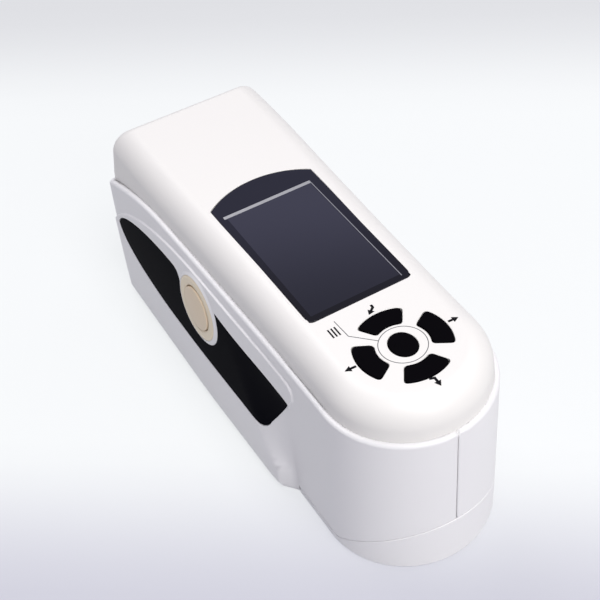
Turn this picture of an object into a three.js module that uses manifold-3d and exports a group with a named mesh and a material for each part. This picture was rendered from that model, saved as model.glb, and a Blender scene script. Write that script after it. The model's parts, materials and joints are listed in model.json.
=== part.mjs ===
// Portable colorimeter: a moulded top cover and two side shells around a display, a keypad,
// a battery and a measuring head, with a pull-off calibration cap under the round nose.
// Millimetres, +Z up, +X towards the nose. The origin is the centre of the footprint, on the base.

import * as THREE from 'three';
import { mergeVertices } from 'three/addons/utils/BufferGeometryUtils.js';
import Module from 'manifold-3d';

const wasm = await Module();
wasm.setup();

// Whole instrument
const overallLength = 205;
const overallHeight = 85.5;
const clear = 0.3; // gap between neighbours that seat or slide on each other
const overrun = 2; // how far a cutter passes the face that it cuts
const wall = 2; // side shells
const ledge = 2.3; // step from the cover's face out to the side shells' face

// Lower body, which the two side shells share
const coverDepth = 14.2; // from the top face down to the parting line, over the front half
const partingDrop = 11; // how far the parting line falls towards the rear
const partingDropLength = 54;
const noseRadius = 32; // at the parting line
const noseBaseRadius = 33;
const noseLean = 2.9; // how far the nose tip lies further back at the base
const rearHalfWidth = 38; // at the parting line
const footHalfWidth = 39.8;
const footFrontHalfWidth = 38.4; // at the front end of the grip
const footBandHeight = 12; // upright band under the flared grip
const footFillet = 4;
const noseFillet = 1;
const rearCornerRadius = 5;
const noseLength = 59; // from the grip's front end to the nose tip
const footFadeLength = 6; // over which the grip's front end runs out at the foot
const rimFadeLength = 52; // and at the parting line
const taperPowerShare = 1.6;
const flarePowerShare = 0.85;
const fadePowerShare = 0.8;

// Raised grip panel on each side, with its black inlay
const gripRise = 0.8;
const gripLeastRise = 0.15; // where the panel runs out towards the nose
const gripTopMargin = 5.9; // of the panel's upper edge below the parting line
const gripNoseReach = 5.3; // of the panel's upper front corner past the grip's end
const gripFrontRadius = 5.5;
const gripRearFall = 30; // of the upper edge from its top to the rear face
const gripEdge = 1; // of the panel past the inlay's front corner
const gripFadeLength = 15.5; // over which the lower front of the panel runs out
const gripFadeHeight = 7;
const gripFadeMargin = 2.4; // of that run-out above the inlay's front corner
const inlayThickness = 1.2;
const inlayTopMargin = 14.8; // of the inlay's upper edge below the parting line
const inlayHeight = 30.9;
const inlayRearMargin = 4.5;
const inlayTipShare = 0.55; // of the inlay's height, up to its rear tip
const inlayNoseReach = 1.5; // of the inlay's front corner past the grip's end
const inlayFrontFall = 4.9; // of the upper edge towards the front corner
const inlayToeLength = 18; // from the front corner back to the lower toe
const inlayToeRadius = 5;
const inlayNotchCorner = 3;

// Test button on the left side
const buttonGripShare = 0.557; // of the grip's length, from the rear face
const buttonFall = 7.3; // of the button's centre below the inlay's upper edge
const bossRadius = 15.6;
const bossRise = 0.5;
const ringOuterRadius = 13.6;
const ringInnerRadius = 9.5;
const ringDepth = 2;
const ringRise = 1;
const buttonRadius = 9.2;
const buttonRise = 2.2; // crown of the button over the panel
const buttonDome = 0.6;
const buttonFlangeRadius = 10.6;
const buttonFlangeThickness = 1.4;
const buttonBoreRadius = 11;
const buttonStemRadius = 2.5;
const buttonStemLength = 2.2;
const buttonTravel = 1.5;
const testSwitchSide = 6;
const testSwitchHeight = 3.5;
const testPlungerRadius = 1.7;
const testPlungerHeight = 0.8;
const switchPostRadius = 2;
const switchPostReach = 13.4; // from the button's axis
const switchBoardLength = 32;
const switchBoardWidth = 12;

// Top cover
const coverWall = 2.2;
const coverFillet = 9.5;
const coverLeanNoseShare = 0.03;
const coverLeanRearShare = 0.16;
const coverRearLeanShare = 0.05;
const coverRearFilletShare = 0.7;
const coverCornerShare = 0.2;
const skirtDepth = 5;
const boardPostRadius = 2.4;

// Display window and display
const lensPadGap = 25.9; // from the window's front edge to the middle of the keys
const lensLength = 72.5; // along its straight sides
const lensRearHalfWidth = 21.6;
const lensFrontHalfWidth = 21;
const lensRearArc = 7.8; // how far the rear edge bows out
const lensCorner = 3;
const lensThickness = 1.1;
const lensGap = 0.15;
const displayRearMargin = 6.5;
const displayFrontMargin = 3;
const displayHalfWidth = 18.2;
const gasketThickness = 0.8;
const gasketWidth = 2.2;
const displayThickness = 2.4;
const displayMargin = 2.4;
const trayThickness = 1;
const trayDepth = 3.4;
const lugLength = 6;
const lugDepth = 2.5;
const lugReachY = 26;

// Keypad
const padOffset = 0.4; // of the keys' middle from the nose's centre
const keyInnerRadius = 9.7;
const keyOuterRadius = 16.9;
const keyHalfAngle = 31; // degrees
const keyCorner = 1.5;
const keyRise = 0.5; // over the cover
const keyGap = 0.25;
const keyFlange = 0.9;
const keyFlangeThickness = 1.3;
const keyEdge = 0.35; // rounding of the upper edge
const keyTravel = 0.8;
const centreKeyHalfLength = 6.1;
const centreKeyHalfWidth = 5.1;
const matThickness = 1.2;
const matPlungerRadius = 2;
const matPlungerHeight = 0.6;
const domeRadius = 3;
const domeHeight = 0.7;
const sheetThickness = 0.25;
const boardThickness = 1.6;
const keyBoardRadius = 23;
const matRadius = 20.5;
const keyPostReach = 20.6;
const screwHeadRadius = 2.2;
const screwHeadHeight = 1.5;
const screwShankRadius = 1.1;

// Base plate, battery and its door
const footLip = 8; // of the side shells under the body
const lipThickness = 3.2;
const plateFlange = 3;
const plateFlangeThickness = 1.5;
const cellRadius = 9;
const cellLength = 68;
const cellPitch = 18.6;
const packWrap = 0.4;
const doorMargin = 4; // of the door past the battery on every side
const doorThickness = 1.8;
const doorTravel = 8; // until its tongues reach the open ends of their grooves
const tongueLength = 7;
const tongueReach = 1.6;
const tongueThickness = 0.9;
const doorGripDepth = 0.6;
const doorGripWidth = 1.2;
const contactThickness = 0.5;
const contactWidth = 9;
const contactHeight = 14;
const bayWall = 1.8;

// Chassis and main board
const deckThickness = 2.2;
const deckFrontGap = 9.5; // from the deck to the grip's front end
const deckHalfWidth = 25;
const deckPostRadius = 2.8;
const deckPostHeight = 6;
const deckPostInset = 5;
const mainBoardRearGap = 36.5; // from the deck's rear edge to the board's
const mainBoardHalfWidth = 20;
const componentGap = 3;
const shieldLength = 26;
const shieldWidth = 24;
const shieldHeight = 3;
const chipSide = 12;
const chipHeight = 1.6;
const connectorLength = 20;
const connectorWidth = 5;
const connectorHeight = 4;
const buzzerRadius = 6;
const buzzerHeight = 5;
const buzzerHole = 1.2;

// Side screws that draw the two shells together
const sideScrewHeadRadius = 2.6;
const sideScrewHeadHeight = 1.8;
const sideScrewShankRadius = 1.3;
const sideScrewReach = 6; // into the left shell's boss
const sideBossRadius = 4.2;
const sideBossBore = 1.5;

// Rear sockets and power switch
const rearPanelHalfWidth = 24;
const rearPanelLowZ = 27;
const rearPanelHeight = 15;
const rearPanelThickness = 1.8;
const rearPanelDepth = 1.4; // of its face inside the rear wall's face
const rearPanelRadius = 3;
const usbWidth = 8;
const usbHeight = 3.4;
const usbDepth = 9;
const usbShell = 0.5;
const usbTongue = 0.8;
const usbY = -11;
const dcBodyWidth = 9;
const dcBodyHeight = 10;
const dcDepth = 13;
const dcBoreRadius = 2.9;
const dcPinRadius = 0.8;
const dcY = 3;
const powerY = 16;
const powerSlotWidth = 8.4;
const powerSlotHeight = 4;
const powerKnobWidth = 4.4;
const powerKnobRise = 1.2;
const powerTravel = 3.4;
const powerBodyDepth = 6;
const powerBodyWidth = 13;
const powerBodyHeight = 7;
const rearBoardDepth = 17;

// Calibration cap under the nose
const capFloor = 3.2;
const capSlopeShare = 0.67;
const tileRadius = 14;
const tileThickness = 1.9;
const noseBaseWall = 1.8;
const noseBaseFloor = 2;
const noseBaseOverlap = 4.5; // of its wall behind the shells, above the cap's rim
const noseBaseLap = 4.5; // behind the cap, over the shells' floor

// Measuring head
const apertureRadius = 4;
const apertureFlangeRadius = 11;
const apertureFlangeThickness = 1.5;
const apertureNeckRadius = 7;
const windowRadius = 6;
const windowThickness = 1.2;
const sphereRadius = 16;
const sphereSteps = 4;
const headRadius = 20;
const headFloor = 3;
const headRoof = 2.4;
const headFlangeRadius = 25;
const headFlangeThickness = 2;
const headScrewReach = 22.4;
const headScrewHeadRadius = 2;
const headBossRadius = 2.5;
const sensorTilt = 8; // degrees from upright
const sensorTubeRadius = 6;
const sensorTubeBore = 4;
const sensorTubeLength = 13;
const sensorSeatDepth = 1.4;
const sensorLensRadius = 4.8;
const sensorLensThickness = 1.8;
const sensorBoardSide = 18;
const lampRadius = 1.9;
const lampLength = 6;
const lampReach = 16;
const lampBoardInner = 12.8;
const lampBoardOuter = 19.4;

// Facets
const noseSteps = 22;
const cornerSteps = 4;
const roundSteps = 16;
const fineSteps = 36;
const smallSteps = 8;
const keySteps = 3;
const ovalSteps = 9;
const filletSteps = 4;
const innerSteps = 2;

const deg = Math.PI / 180;

// Places along the body and up its sides
const rearX = -overallLength / 2;
const noseX = overallLength / 2 - noseRadius;
const noseBaseX = noseX - noseLean - (noseBaseRadius - noseRadius);
const gripEndX = overallLength / 2 - noseLength;
const gripMiddleX = (rearX + gripEndX) / 2;
const partingHeight = overallHeight - coverDepth;
const gripTopZ = partingHeight - gripTopMargin;
const gripFrontX = gripEndX + gripNoseReach;
const inlayHighZ = partingHeight - inlayTopMargin;
const inlayLowZ = inlayHighZ - inlayHeight;
const inlayTipX = rearX + inlayRearMargin;
const inlayTipZ = inlayLowZ + inlayTipShare * inlayHeight;
const inlayFrontX = gripEndX + inlayNoseReach;
const inlayFrontZ = inlayHighZ - inlayFrontFall;
const inlayToeX = inlayFrontX - inlayToeLength;
const buttonX = rearX + buttonGripShare * (gripEndX - rearX);
const buttonZ = inlayHighZ - buttonFall;
const padX = noseX + padOffset;
const lensFrontX = padX - lensPadGap;
const lensRearX = lensFrontX - lensLength;
const displayRearX = lensRearX + displayRearMargin;
const displayFrontX = lensFrontX - displayFrontMargin;

// Colours from the photograph
const shellWhite = { color: 0xf1efec, roughness: 0.42, metalness: 0 };
const sideWhite = { color: 0xe9e8ea, roughness: 0.45, metalness: 0 };
const keyBlack = { color: 0x0e0e10, roughness: 0.55, metalness: 0 };
const inlayBlack = { color: 0x0c0c14, roughness: 0.35, metalness: 0 };
const lensDark = { color: 0x23232f, roughness: 0.12, metalness: 0 };
const gold = { color: 0xcfc19a, roughness: 0.35, metalness: 0.4 };
const boardGreen = { color: 0x1e5a37, roughness: 0.6, metalness: 0 };
const chipBlack = { color: 0x17171a, roughness: 0.5, metalness: 0 };
const tinPlate = { color: 0xb9bcc0, roughness: 0.3, metalness: 0.9 };
const steel = { color: 0x9ea0a4, roughness: 0.35, metalness: 0.9 };
const innerBlack = { color: 0x222226, roughness: 0.6, metalness: 0 };
const innerWhite = { color: 0xf6f6f4, roughness: 0.9, metalness: 0 };
const siliconeGrey = { color: 0x8c8f95, roughness: 0.8, metalness: 0 };
const cellBlue = { color: 0x2b4f9c, roughness: 0.4, metalness: 0 };
const glassClear = { color: 0xdfe9ee, roughness: 0.05, metalness: 0 };
const tileWhite = { color: 0xfbfbf8, roughness: 0.2, metalness: 0 };
const aluminium = { color: 0xa9abad, roughness: 0.4, metalness: 0.9 };

const colorimeter = new THREE.Group();

function addMesh(name, solid, finish, parent = colorimeter) {
  const mesh = new THREE.Mesh(toGeometry(solid), new THREE.MeshStandardMaterial(finish));
  mesh.name = name;
  parent.add(mesh);
  return mesh;
}

// Solids

function toSolid(source) {
  const geometry = source.index ? source.clone() : source;
  geometry.deleteAttribute('normal');
  geometry.deleteAttribute('uv');
  const merged = mergeVertices(geometry, 1e-4);
  return new wasm.Manifold(new wasm.Mesh({
    numProp: 3,
    vertProperties: Float32Array.from(merged.attributes.position.array),
    triVerts: Uint32Array.from(merged.index.array),
  }));
}

function toGeometry(solid) {
  const mesh = solid.getMesh();
  const geometry = new THREE.BufferGeometry();
  geometry.setAttribute('position', new THREE.BufferAttribute(mesh.vertProperties, mesh.numProp));
  geometry.setIndex(new THREE.BufferAttribute(mesh.triVerts, 1));
  geometry.computeVertexNormals();
  return geometry;
}

function cut(solid, ...tools) {
  return tools.reduce((left, tool) => left.subtract(tool), solid);
}

function join(solid, ...others) {
  return others.reduce((left, other) => left.add(other), solid);
}

function common(solid, ...others) {
  return others.reduce((left, other) => left.intersect(other), solid);
}

// A block between two corners
function block(x0, x1, y0, y1, z0, z1) {
  const box = new THREE.BoxGeometry(x1 - x0, y1 - y0, z1 - z0);
  return toSolid(box.translate((x0 + x1) / 2, (y0 + y1) / 2, (z0 + z1) / 2));
}

// A shape in X and Y raised from z0 to z1
function prism(shape, z0, z1, curveSegments = smallSteps) {
  const raised = new THREE.ExtrudeGeometry(shape, { depth: z1 - z0, bevelEnabled: false, curveSegments });
  return toSolid(raised.translate(0, 0, z0));
}

// The same with its edges rounded
function roundedPrism(shape, z0, z1, edge, curveSegments = smallSteps) {
  const raised = new THREE.ExtrudeGeometry(shape, {
    depth: z1 - z0 - 2 * edge, curveSegments,
    bevelSize: edge, bevelThickness: edge, bevelOffset: -edge, bevelSegments: 1,
  });
  return toSolid(raised.translate(0, 0, z0 + edge));
}

// A side view in X and Z carried across from y0 to y1
function sidePrism(points, y0, y1) {
  const across = new THREE.ExtrudeGeometry(new THREE.Shape(points), { depth: y1 - y0, bevelEnabled: false });
  return toSolid(across.rotateX(Math.PI / 2).translate(0, y1, 0));
}

function cylinder(radius, z0, z1, x = 0, y = 0, steps = smallSteps) {
  const geometry = new THREE.CylinderGeometry(radius, radius, z1 - z0, steps);
  return toSolid(geometry.rotateX(Math.PI / 2).translate(x, y, (z0 + z1) / 2));
}

// A profile of [radius, height] pairs turned about Z
function turned(profile, steps = roundSteps) {
  const points = profile.map(([radius, height]) => new THREE.Vector2(radius, height));
  const last = points[points.length - 1];
  if (last.distanceTo(points[0]) > 0 && (points[0].x > 0 || last.x > 0)) points.push(points[0].clone());
  const solid = toSolid(new THREE.LatheGeometry(points, steps).rotateX(Math.PI / 2));
  return solid.volume() < 0 ? toSolid(flipped(toGeometry(solid))) : solid;
}

function flipped(geometry) {
  const index = geometry.index.array;
  for (let i = 0; i < index.length; i += 3) [index[i], index[i + 1]] = [index[i + 1], index[i]];
  return geometry;
}

function moved(solid, matrix) {
  return toSolid(toGeometry(solid).applyMatrix4(matrix));
}

function shifted(solid, x, y, z) {
  return moved(solid, new THREE.Matrix4().makeTranslation(x, y, z));
}

function mirroredY(solid) {
  return toSolid(flipped(toGeometry(solid).scale(1, -1, 1)));
}

function rectangle(x0, x1, y0, y1, radius) {
  const shape = new THREE.Shape();
  shape.moveTo(x0 + radius, y0);
  shape.lineTo(x1 - radius, y0).absarc(x1 - radius, y0 + radius, radius, -Math.PI / 2, 0);
  shape.lineTo(x1, y1 - radius).absarc(x1 - radius, y1 - radius, radius, 0, Math.PI / 2);
  shape.lineTo(x0 + radius, y1).absarc(x0 + radius, y1 - radius, radius, Math.PI / 2, Math.PI);
  shape.lineTo(x0, y0 + radius).absarc(x0 + radius, y0 + radius, radius, Math.PI, 1.5 * Math.PI);
  return shape;
}

// Moves every corner of a closed outline inwards by one distance
function insetOutline(points, distance) {
  const area = THREE.ShapeUtils.area(points);
  const side = Math.sign(area);
  return points.map((point, i) => {
    const before = points[(i + points.length - 1) % points.length];
    const after = points[(i + 1) % points.length];
    const entering = point.clone().sub(before).normalize();
    const leaving = after.clone().sub(point).normalize();
    const inward = new THREE.Vector2(-entering.y - leaving.y, entering.x + leaving.x).normalize();
    const spread = Math.max(inward.dot(new THREE.Vector2(-entering.y, entering.x)), 0.5);
    return point.clone().addScaledVector(inward, (side * distance) / spread);
  });
}

// A skin through closed outlines of equal count, one above the other
function loft(outlines) {
  const count = outlines[0].points.length;
  const position = [];
  const index = [];
  for (const { z, points } of outlines) for (const p of points) position.push(p.x, p.y, z);
  for (let level = 0; level + 1 < outlines.length; level += 1) {
    for (let i = 0; i < count; i += 1) {
      const a = level * count + i;
      const b = level * count + ((i + 1) % count);
      index.push(a, b, b + count, a, b + count, a + count);
    }
  }
  const top = (outlines.length - 1) * count;
  for (const [a, b, c] of THREE.ShapeUtils.triangulateShape(outlines[0].points, [])) index.push(a, c, b);
  for (const [a, b, c] of THREE.ShapeUtils.triangulateShape(outlines.at(-1).points, [])) {
    index.push(top + a, top + b, top + c);
  }
  const geometry = new THREE.BufferGeometry();
  geometry.setAttribute('position', new THREE.Float32BufferAttribute(position, 3));
  geometry.setIndex(index);
  return toSolid(geometry);
}

// Form of the housing

function ease(share) {
  const s = THREE.MathUtils.clamp(share, 0, 1);
  return s * s * (3 - 2 * s);
}

function between(a, b, share) {
  return a + (b - a) * share;
}

function partingZ(x) {
  const share = THREE.MathUtils.clamp((rearX + partingDropLength - x) / partingDropLength, 0, 2);
  return partingHeight - partingDrop * share * share;
}

// How far a point lies below the parting line, from 0 there to 1 at the foot band
function depthShare(z, floor) {
  return THREE.MathUtils.clamp((partingHeight - z) / (partingHeight - floor), 0, 1);
}

function rimHalf(x) {
  const rearward = THREE.MathUtils.clamp((noseX - x) / (noseX - rearX), 0, 1);
  return noseRadius + (rearHalfWidth - noseRadius) * rearward ** taperPowerShare;
}

function filletInset(z, radius) {
  if (z >= radius) return 0;
  const rise = (radius - z) / radius;
  return radius * (1 - Math.sqrt(Math.max(1 - rise * rise, 0)));
}

// 1 along the grip, running out to 0 at the nose, faster near the foot
function gripShare(x, z) {
  const up = THREE.MathUtils.clamp((z - footBandHeight) / (partingHeight - footBandHeight), 0, 1);
  const length = between(footFadeLength, rimFadeLength, up ** fadePowerShare);
  return 1 - ease((x - gripEndX + length) / length);
}

// Half the width of the lower body
function sideHalf(x, z) {
  const frontward = ease((x - gripMiddleX) / (gripEndX - gripMiddleX));
  const foot = between(footHalfWidth, footFrontHalfWidth, frontward);
  const plain = rimHalf(x) + (noseBaseRadius - noseRadius) * depthShare(z, 0);
  const full = Math.max(foot - plain, 0) * depthShare(z, footBandHeight) ** flarePowerShare;
  const grip = gripShare(x, z);
  return plain + full * grip - filletInset(z, between(noseFillet, footFillet, grip));
}

// Stations along a side, close together where the grip runs out
function sideStations(frontX, backX) {
  const stations = [];
  const fade = [0, 0.25, 0.5, 0.75, 1];
  const run = [0.3, 0.7, 1];
  const fadeBackX = gripEndX - footFadeLength;
  for (const share of [0, 0.5]) stations.push(between(frontX, gripEndX, share));
  for (const share of fade) stations.push(between(gripEndX, fadeBackX, share));
  for (const share of run) stations.push(between(fadeBackX, gripEndX - rimFadeLength, share));
  const middleX = gripEndX - rimFadeLength;
  const steps = 5;
  for (let i = 1; i <= steps; i += 1) stations.push(between(middleX, backX, i / steps));
  return stations;
}

// Plan of the lower body at one height, grown outwards, with a further rise on the sides
function bodyOutline(z, grow = 0, rise = () => 0) {
  const below = depthShare(z, 0);
  const radius = between(noseRadius, noseBaseRadius, below) - filletInset(z, noseFillet) + grow;
  const centreX = noseX - (noseLean + noseBaseRadius - noseRadius) * below;
  const backX = rearX + filletInset(z, footFillet) - grow;
  const corner = Math.max(rearCornerRadius + grow, rearCornerRadius / 8);
  const cornerX = backX + corner;
  const half = (x) => sideHalf(x, z) + grow + rise(x, z);
  const cornerY = half(cornerX) - corner;
  const side = sideStations(centreX, cornerX).slice(1);
  const right = [];
  for (let i = 0; i <= noseSteps / 2; i += 1) {
    const angle = (i / noseSteps) * Math.PI;
    right.push(new THREE.Vector2(centreX + radius * Math.cos(angle), radius * Math.sin(angle)));
  }
  for (const x of side) right.push(new THREE.Vector2(x, half(x)));
  for (let i = 1; i <= cornerSteps; i += 1) {
    const angle = (i / cornerSteps) * (Math.PI / 2);
    right.push(new THREE.Vector2(cornerX - corner * Math.sin(angle), cornerY + corner * Math.cos(angle)));
  }
  const left = right.slice(1).reverse().map((p) => new THREE.Vector2(p.x, -p.y));
  return { z, points: [...right, ...left] };
}

function bodyLevels() {
  const levels = [];
  const footSteps = 3;
  const wallSteps = 4;
  for (let i = 0; i <= footSteps; i += 1) {
    levels.push(footFillet * (1 - Math.cos((i / footSteps) * (Math.PI / 2))));
  }
  for (let i = 0; i <= wallSteps; i += 1) {
    levels.push(between(footBandHeight, partingHeight, i / wallSteps));
  }
  levels.push(partingHeight + overrun);
  return levels;
}

function bodySolid(grow = 0, rise) {
  return loft(bodyLevels().map((z) => bodyOutline(z, grow, rise)));
}

// A space inside the body, without the fillet of its underside
function innerLoft(grow, levels) {
  return loft(levels.map((z) => ({ z, points: bodyOutline(Math.max(z, footFillet), grow).points })));
}

// Everything under a curve of x, in side view
function underCurve(height, lowZ) {
  const points = [];
  const steps = 16;
  const frontX = overallLength / 2 + overrun;
  const levelX = rearX + partingDropLength;
  points.push(new THREE.Vector2(rearX - overrun, lowZ), new THREE.Vector2(frontX, lowZ));
  points.push(new THREE.Vector2(frontX, height(frontX)));
  for (let i = 0; i <= steps; i += 1) {
    const x = between(levelX, rearX - overrun, i / steps);
    points.push(new THREE.Vector2(x, height(x)));
  }
  return sidePrism(points, -overallLength / 2, overallLength / 2);
}

// Plan of the top cover at one height, drawn in by the wall and by the top fillet's curve
function coverOutline(z, wall, curve) {
  const inset = wall + curve;
  const lean = (x) => {
    const rearward = THREE.MathUtils.clamp((noseX - x) / (noseX - rearX), 0, 1);
    return between(coverLeanNoseShare, coverLeanRearShare, rearward * rearward);
  };
  const above = (x) => Math.max(z - partingZ(x), 0);
  const radius = noseRadius - ledge - coverLeanNoseShare * above(noseX) - inset;
  const backX = rearX + ledge + coverRearLeanShare * above(rearX) + wall + curve * coverRearFilletShare;
  const corner = Math.max(rearCornerRadius - ledge - inset * coverCornerShare, rearCornerRadius / 8);
  const cornerX = backX + corner;
  const half = (x) => rimHalf(x) - ledge - lean(x) * above(x) - inset;
  const cornerY = half(cornerX) - corner;
  const right = [];
  for (let i = 0; i <= noseSteps / 2; i += 1) {
    const angle = (i / noseSteps) * Math.PI;
    right.push(new THREE.Vector2(noseX + radius * Math.cos(angle), radius * Math.sin(angle)));
  }
  const steps = 6;
  for (let i = 1; i <= steps; i += 1) {
    const x = between(noseX, cornerX, i / steps);
    right.push(new THREE.Vector2(x, half(x)));
  }
  for (let i = 1; i <= cornerSteps; i += 1) {
    const angle = (i / cornerSteps) * (Math.PI / 2);
    right.push(new THREE.Vector2(cornerX - corner * Math.sin(angle), cornerY + corner * Math.cos(angle)));
  }
  const left = right.slice(1).reverse().map((p) => new THREE.Vector2(p.x, -p.y));
  return { z, points: [...right, ...left] };
}

function coverSolid(inset, topZ, lowZ, steps) {
  const outlines = [lowZ, partingHeight].map((z) => coverOutline(z, inset, 0));
  const fillet = Math.max(coverFillet - inset, coverFillet / 2);
  for (let i = 0; i <= steps; i += 1) {
    const angle = (i / steps) * (Math.PI / 2);
    const z = topZ - fillet + fillet * Math.sin(angle);
    outlines.push(coverOutline(z, inset, fillet * (1 - Math.cos(angle))));
  }
  return loft(outlines);
}

// Side views of the grip panel and of its inlay

function gripOutline() {
  const shape = new THREE.Shape();
  const lowZ = -overrun;
  shape.moveTo(rearX - overrun, lowZ);
  shape.lineTo(gripEndX + clear, lowZ);
  shape.lineTo(inlayFrontX + gripEdge, inlayFrontZ);
  shape.lineTo(gripFrontX, gripTopZ - 2 * gripFrontRadius);
  shape.lineTo(gripFrontX, gripTopZ - gripFrontRadius);
  shape.absarc(gripFrontX - gripFrontRadius, gripTopZ - gripFrontRadius, gripFrontRadius, 0, Math.PI / 2);
  const riseX = between(rearX, gripMiddleX, 0.85);
  shape.lineTo(riseX, gripTopZ);
  shape.bezierCurveTo(
    between(rearX, riseX, 0.45), gripTopZ,
    between(rearX, riseX, 0.1), gripTopZ - 0.45 * gripRearFall,
    rearX - overrun, gripTopZ - gripRearFall,
  );
  return shape.getPoints(10);
}

function inlayOutline() {
  const shape = new THREE.Shape();
  const slope = new THREE.Vector2(inlayFrontX - inlayToeX - inlayToeRadius, inlayFrontZ - inlayLowZ);
  slope.normalize();
  const lowRearX = between(inlayTipX, inlayToeX, 0.3);
  shape.moveTo(inlayTipX, inlayTipZ);
  shape.bezierCurveTo(
    between(inlayTipX, lowRearX, 0.04), between(inlayLowZ, inlayTipZ, 0.25),
    between(inlayTipX, lowRearX, 0.4), inlayLowZ,
    lowRearX, inlayLowZ,
  );
  shape.lineTo(inlayToeX - inlayToeRadius, inlayLowZ);
  shape.quadraticCurveTo(
    inlayToeX, inlayLowZ,
    inlayToeX + inlayToeRadius * slope.x, inlayLowZ + inlayToeRadius * slope.y,
  );
  shape.lineTo(inlayFrontX, inlayFrontZ);
  shape.quadraticCurveTo(
    between(buttonX, inlayFrontX, 0.65), between(inlayFrontZ, inlayHighZ, 0.3),
    buttonX + bossRadius, inlayHighZ,
  );
  const shoulderX = buttonX - bossRadius - inlayNotchCorner;
  shape.lineTo(shoulderX, inlayHighZ);
  shape.bezierCurveTo(
    between(inlayTipX, shoulderX, 0.6), inlayHighZ + clear,
    between(inlayTipX, shoulderX, 0.22), between(inlayTipZ, inlayHighZ, 0.72),
    inlayTipX, inlayTipZ,
  );
  return shape.getPoints(10).slice(0, -1);
}

// The panel stands proud along its upper edge and runs out at the rear corner and low at the front
function gripRiseAt(x, z) {
  const rear = ease((x - rearX) / rearCornerRadius);
  const low = ease((inlayFrontZ + gripFadeMargin - z) / gripFadeHeight);
  const front = ease((x - gripEndX + gripFadeLength) / gripFadeLength);
  return between(gripLeastRise, gripRise, rear * (1 - low * front));
}

// Place and slope of the left panel where the test button sits
function buttonMatrix() {
  const reach = buttonRadius;
  const half = sideHalf(buttonX, buttonZ) + gripRise;
  const slopeX = (sideHalf(buttonX + reach, buttonZ) - sideHalf(buttonX - reach, buttonZ)) / (2 * reach);
  const slopeZ = (sideHalf(buttonX, buttonZ + reach) - sideHalf(buttonX, buttonZ - reach)) / (2 * reach);
  const outward = new THREE.Vector3(-slopeX, -1, -slopeZ).normalize();
  const along = new THREE.Vector3(1, -slopeX, 0).normalize();
  const upward = new THREE.Vector3().crossVectors(outward, along);
  return new THREE.Matrix4().makeBasis(along, upward, outward).setPosition(buttonX, -half, buttonZ);
}

const buttonPlace = buttonMatrix();

function capLine(x) {
  return Math.max(capFloor, capSlopeShare * (x - noseBaseX));
}

// Side view of what lies under the cap's rim, with the rim moved up by a distance
function capRegion(raise, backX) {
  const farX = overallLength / 2 + overrun;
  const kneeX = noseBaseX + capFloor / capSlopeShare;
  return sidePrism([
    new THREE.Vector2(backX, -overrun),
    new THREE.Vector2(farX, -overrun),
    new THREE.Vector2(farX, capLine(farX) + raise),
    new THREE.Vector2(kneeX, capFloor + raise),
    new THREE.Vector2(backX, capFloor + raise),
  ], -overallLength / 2, overallLength / 2);
}

// The opening that the base plate fills
function baseOpening(inset, lowZ, highZ) {
  const { points } = bodyOutline(footFillet, -footFillet - inset);
  const frontX = gripEndX - inset;
  const plan = loft([{ z: lowZ, points }, { z: highZ, points }]);
  return common(plan, block(rearX, frontX, -footHalfWidth, footHalfWidth, lowZ, highZ));
}

// Stack of the inner pieces, from the base up

const plateTopZ = lipThickness + clear + plateFlangeThickness;
const plateRearX = rearX + footFillet + footLip + clear;
const plateFrontX = gripEndX - footLip - clear;
const packHalfWidth = cellPitch / 2 + cellRadius + packWrap;
const packLength = cellLength + 2 * packWrap;
const packFrontX = (plateRearX + plateFrontX + packLength + doorTravel) / 2;
const packRearX = packFrontX - packLength;
const packLowZ = doorThickness + clear;
const packMiddleZ = packLowZ + cellRadius + packWrap;
const bayEnd = 2 * clear + contactThickness; // from the battery to the bay's end walls
const deckTopZ = rearPanelLowZ + rearPanelHeight / 2 - dcBodyHeight / 2 - 2 * clear - boardThickness;
const deckRearX = rearX + 2 * wall;
const deckFrontX = gripEndX - deckFrontGap;
const mainBoardZ = deckTopZ + deckPostHeight + clear;
const mainBoardRearX = deckRearX + mainBoardRearGap;
const screwStandOff = bayEnd + bayWall + 2 * clear + sideBossRadius;
const screwX = [packRearX - screwStandOff, packFrontX + screwStandOff];
const screwZ = [
  (plateTopZ + deckTopZ - deckThickness) / 2,
  mainBoardZ + boardThickness + buzzerHeight + 2 * clear + sideBossRadius,
];
const screwPlaces = [];
for (const x of screwX) for (const z of screwZ) screwPlaces.push({ x, z });

function acrossCylinder(radius, y0, y1, x, z) {
  const geometry = new THREE.CylinderGeometry(radius, radius, y1 - y0, smallSteps);
  return toSolid(geometry.translate(x, (y0 + y1) / 2, z));
}

function alongCylinder(radius, x0, x1, y, z, steps = smallSteps) {
  const geometry = new THREE.CylinderGeometry(radius, radius, x1 - x0, steps);
  return toSolid(geometry.rotateZ(Math.PI / 2).translate((x0 + x1) / 2, y, z));
}

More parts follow.
